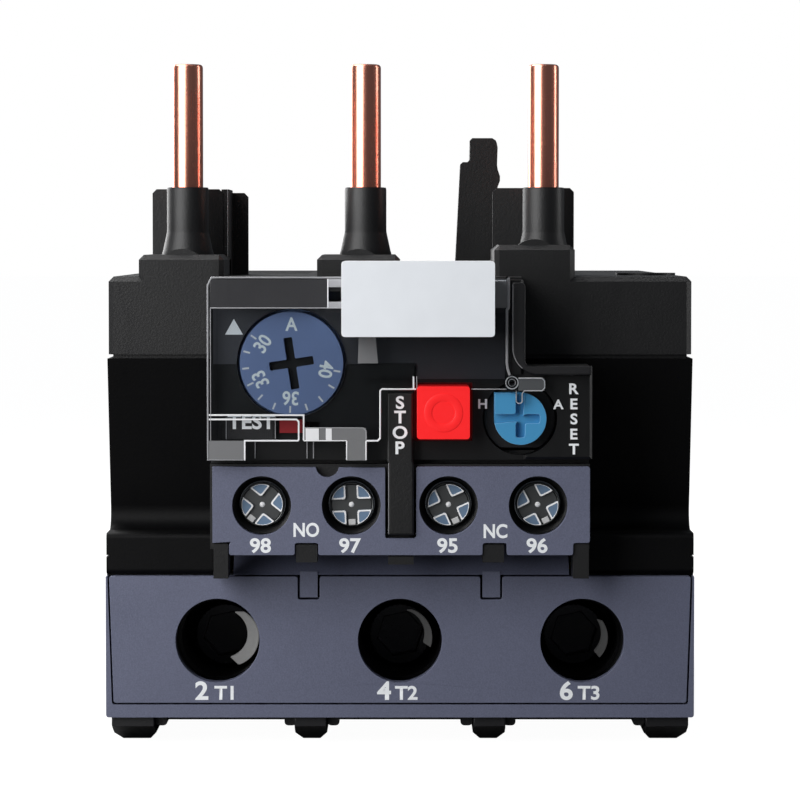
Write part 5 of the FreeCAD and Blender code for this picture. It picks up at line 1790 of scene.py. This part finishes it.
    def strip(self, front: float) -> None:
        """Makes the stepped strip beside the window, with painted highlight bars and painted highlight lines
        along its edges.

        Args:
            front: Y of the cover's face.
        """
        start, base, top, end = self.window_right, self.strip_bottom, self.strip_top, self.leg[1]
        finishes = self.shop.finishes
        self.pane("cover_strip", rectangle((start, end), (base, top)), front, finishes.frosted, self.soft)
        span = (base + 0.06 * MM, top - 0.06 * MM)
        for number, sides in enumerate(self.bright_bars, 1):
            bar = rectangle(sides, span)
            self.pane(f"strip_bar_{number}", bar, front - 0.04 * MM, finishes.bright_painted_highlight, SINK)
        route = [(start, top), (end - 0.35 * MM, top), (end, top - 0.35 * MM), (end, base)]
        self.rim("strip_edge_top", route, front, finishes.grey_painted_highlight, self.middling)
        route = [(start, base), (self.leg[0], base)]
        self.rim("strip_edge_base", route, front, finishes.bright_painted_highlight, self.middling)

    def clips(self, high: Vector, front: float) -> None:
        """Makes the clips that hold the label plate: upper and lower ones in painted highlight grey, a
        painted highlight line along their left edge, and a frosted one on the right.

        Args:
            high: high corner of the CAD cover.
            front: Y of its face.
        """
        finishes = self.shop.finishes
        left, top, (label, label_end) = self.clip_left, high[2] - 0.25 * MM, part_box("label_plate")
        for name, low_z, high_z in (("upper", self.clip_gap[1], top), ("lower", self.bar, self.clip_gap[0])):
            shape = rectangle((left, label[0] - SINK), (low_z, high_z))
            self.pane(f"clip_{name}", shape, front, finishes.grey_painted_highlight, self.soft)
        self.rim("clip_edge", [(left, self.bar), (left, top)], front, finishes.bright_painted_highlight, 0.13 * MM)
        shape = rectangle((label_end[0] + 0.3 * MM, self.right + 0.1 * MM), (self.bar, top))
        self.pane("clip_right", shape, front, finishes.frosted, self.soft)

    def pivot(self, high: Vector, front: float) -> None:
        """Makes the ring as two painted highlight circles, the arm with a painted highlight outline, and the
        finger that guards the reset knob as a painted highlight line.

        Args:
            high: high corner of the CAD cover.
            front: Y of its face.
        """
        grey, bright = self.shop.finishes.grey_painted_highlight, self.shop.finishes.bright_painted_highlight
        x, z = self.ring
        rings = (("outer", 0.78 * MM, 0.13 * MM, bright), ("inner", 0.46 * MM, 0.1 * MM, grey))
        for name, radius, width, finish in rings:
            loops = [circle(x, z, radius, 48), circle(x, z, radius - width, 48)]
            ring = self.shop.plate(f"ring_{name}", loops, front - 0.14 * MM, front + SINK, self.soft)
            self.shop.mount(ring, Body.COVER, Slot.CLEAR, finish)
        low_z, high_z, tip = z - 0.92 * MM, z + 0.52 * MM, high[0] - 0.08 * MM
        arm = rectangle((x + 0.75 * MM, tip), (low_z, high_z))
        self.pane("guard_arm", arm, front, self.shop.finishes.frosted, self.soft)
        route = [(x + 0.75 * MM, high_z), (tip - 0.3 * MM, high_z), (tip, high_z - 0.3 * MM),
                 (tip, low_z + 0.3 * MM), (tip - 0.3 * MM, low_z), (x + 1.4 * MM, low_z)]
        self.rim("guard_edge", route, front, bright, self.middling)
        left, right, foot = x + 0.5 * MM, x + 1.2 * MM, z - 2.4 * MM
        finger = [(left, low_z), (left, foot + 0.2 * MM), (left + 0.2 * MM, foot), (right - 0.2 * MM, foot),
                  (right, foot + 0.2 * MM), (right, low_z - 0.35 * MM), (right + 0.25 * MM, low_z)]
        self.rim("guard_finger", finger, front, bright, 0.13 * MM)

    def label(self) -> None:
        """Makes the blank label plate."""
        low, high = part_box("label_plate")
        left, right = spread((low, high), 0)
        lap = 0.27 * MM
        outline = rounded(rectangle((left - lap, right + lap), spread((low, high), 2)), 0.46 * MM, 6)
        # The rounded edges carry the glowing white of a painted highlight.
        plate = self.shop.plate("label_face", [outline], low[1], high[1], 0.26 * MM, 5, 1)
        finishes = self.shop.finishes
        self.shop.mount(plate, Body.COVER, Slot.WHITE, finishes.white, finishes.label_painted_highlight,
                        stands_for=["label_plate"])


@dataclass
class Mechanism:
    """Sealed trip mechanism."""

    shop: Workshop

    def build(self) -> None:
        """Dresses the inner parts."""
        finishes = self.shop.finishes
        for node in ("trip_slider", "trip_lever", "contact_bridge"):
            self.shop.dress(node, finishes.inner, 0.12 * MM)
        self.shop.dress("lever_pin", finishes.spring)
        for node in ("blade_no", "blade_nc"):
            self.shop.dress(node, finishes.brass)
        for number in (1, 2, 3):
            self.shop.dress(f"heater_{number}", finishes.heater)
            self.shop.dress(f"bimetal_{number}", finishes.spring)


@dataclass
class Studio:
    """Pale floor, soft lamps and the camera."""

    distance: float = 450.0 * MM
    height: float = 60.2 * MM
    aim: float = 41.3 * MM
    lens: float = 170.8
    lamps: tuple[tuple[str, tuple[float, float, float], Point, float], ...] = (
        ("key", (-0.19, -0.22, 0.15), (0.26, 0.3), 1.15), ("edge", (0.34, 0.02, 0.1), (0.05, 0.4), 0.3),
        ("top", (-0.12, 0.12, 0.4), (0.3, 0.3), 1.2), ("rear", (-0.3, 0.36, 0.16), (0.4, 0.3), 1.6))

    def build(self) -> None:
        """Builds floor, world, lamps and camera."""
        self.floor()
        self.world()
        for name, place, size, power in self.lamps:
            self.lamp(name, place, size, power)
        self.camera()

    def camera_share(self, sheet: NodeSheet) -> Value:
        """Tells the rays that show the backdrop, straight or through the clear cover.

        Args:
            sheet: the node sheet that asks.

        Returns:
            1 for such rays and 0 for the rest.
        """
        path = sheet.node("ShaderNodeLightPath")
        seen = Value(sheet, path.outputs["Is Camera Ray"]) + Value(sheet, path.outputs["Is Transmission Ray"])
        return sheet.add("ShaderNodeMath", {"operation": "MINIMUM"}, {0: seen, 1: 1.0})

    def floor(self) -> None:
        """Makes the floor, white to the camera with a faint shadow."""
        shape = bmesh.new()
        bmesh.ops.create_grid(shape, x_segments=8, y_segments=8, size=6.0)
        mesh = bpy.data.meshes.new("floor")
        shape.to_mesh(mesh)
        shape.free()
        floor = bpy.data.objects.new("floor", mesh)
        bpy.context.scene.collection.objects.link(floor)
        material, sheet = new_sheet("floor_white")
        seen = self.camera_share(sheet)
        grain = sheet.noise(sheet.place(), 30.0, 2.0)
        matt = sheet.add("ShaderNodeBsdfPrincipled", {}, {
            "Base Color": sheet.blend(seen, (0.12, 0.12, 0.12), (0.86, 0.86, 0.86)),
            "Roughness": 0.85 + grain * 0.1, "Specular IOR Level": 0.1})
        glow = sheet.add("ShaderNodeEmission", {}, {"Color": (1, 1, 1, 1), "Strength": 1.22})
        sheet.finish(sheet.add("ShaderNodeMixShader", {}, {0: seen * 0.8, 1: matt, 2: glow}))
        floor.data.materials.append(material)

    def world(self) -> None:
        """White backdrop for the camera, dim grey light for the object."""
        world = bpy.data.worlds.new("studio")
        world.use_nodes = True
        bpy.context.scene.world = world
        sheet = NodeSheet(world.node_tree)
        dim = sheet.add("ShaderNodeBackground", {}, {"Color": (0.8, 0.86, 0.95, 1), "Strength": 0.12})
        white = sheet.add("ShaderNodeBackground", {}, {"Color": (1, 1, 1, 1), "Strength": 1.0})
        mix = sheet.add("ShaderNodeMixShader", {}, {0: self.camera_share(sheet), 1: dim, 2: white})
        sheet.finish(mix, "ShaderNodeOutputWorld")

    def lamp(self, name: str, place: tuple[float, float, float], size: Point, power: float) -> None:
        """Adds one soft lamp aimed at the relay.

        Args:
            name: the lamp's name.
            place: where it hangs.
            size: width and height of its panel.
            power: its power in watts.
        """
        light = bpy.data.lights.new(name, "AREA")
        light.shape = "RECTANGLE"
        light.size, light.size_y = size
        light.energy = power
        holder = bpy.data.objects.new(name, light)
        holder.location = place
        holder.rotation_euler = (Vector((0, -0.03, 0.04)) - Vector(place)).to_track_quat("-Z", "Y").to_euler()
        bpy.context.scene.collection.objects.link(holder)

    def camera(self) -> None:
        """Places the camera in front, tilted slightly down."""
        data = bpy.data.cameras.new("camera")
        data.lens = self.lens
        data.sensor_width = 36.0
        data.clip_start = 0.01
        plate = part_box("terminal_plate")[0][1]
        place = Vector((0.0, plate - self.distance, self.height))
        holder = bpy.data.objects.new("camera", data)
        holder.location = place
        target = Vector((0.0, plate, self.aim))
        holder.rotation_euler = (target - place).to_track_quat("-Z", "Y").to_euler()
        bpy.context.scene.collection.objects.link(holder)
        bpy.context.scene.camera = holder


def main() -> None:
    """Builds the relay's pieces in order, then the studio round them."""
    logging.basicConfig(level=logging.INFO, format="%(name)s: %(message)s")
    shop = Workshop(Finishes())
    kinds = (Casing, Feet, ContactPins, TerminalFront, TerminalScrews, AuxTerminals, ControlFace, ClearCover,
             Mechanism)
    parts = [kind(shop) for kind in kinds] + [Studio()]
    for part in parts:
        part.build()
        LOG.info("%s ready", type(part).__name__)
    bpy.context.scene.view_settings.view_transform = "Standard"


if __name__ == "__main__":
    main()
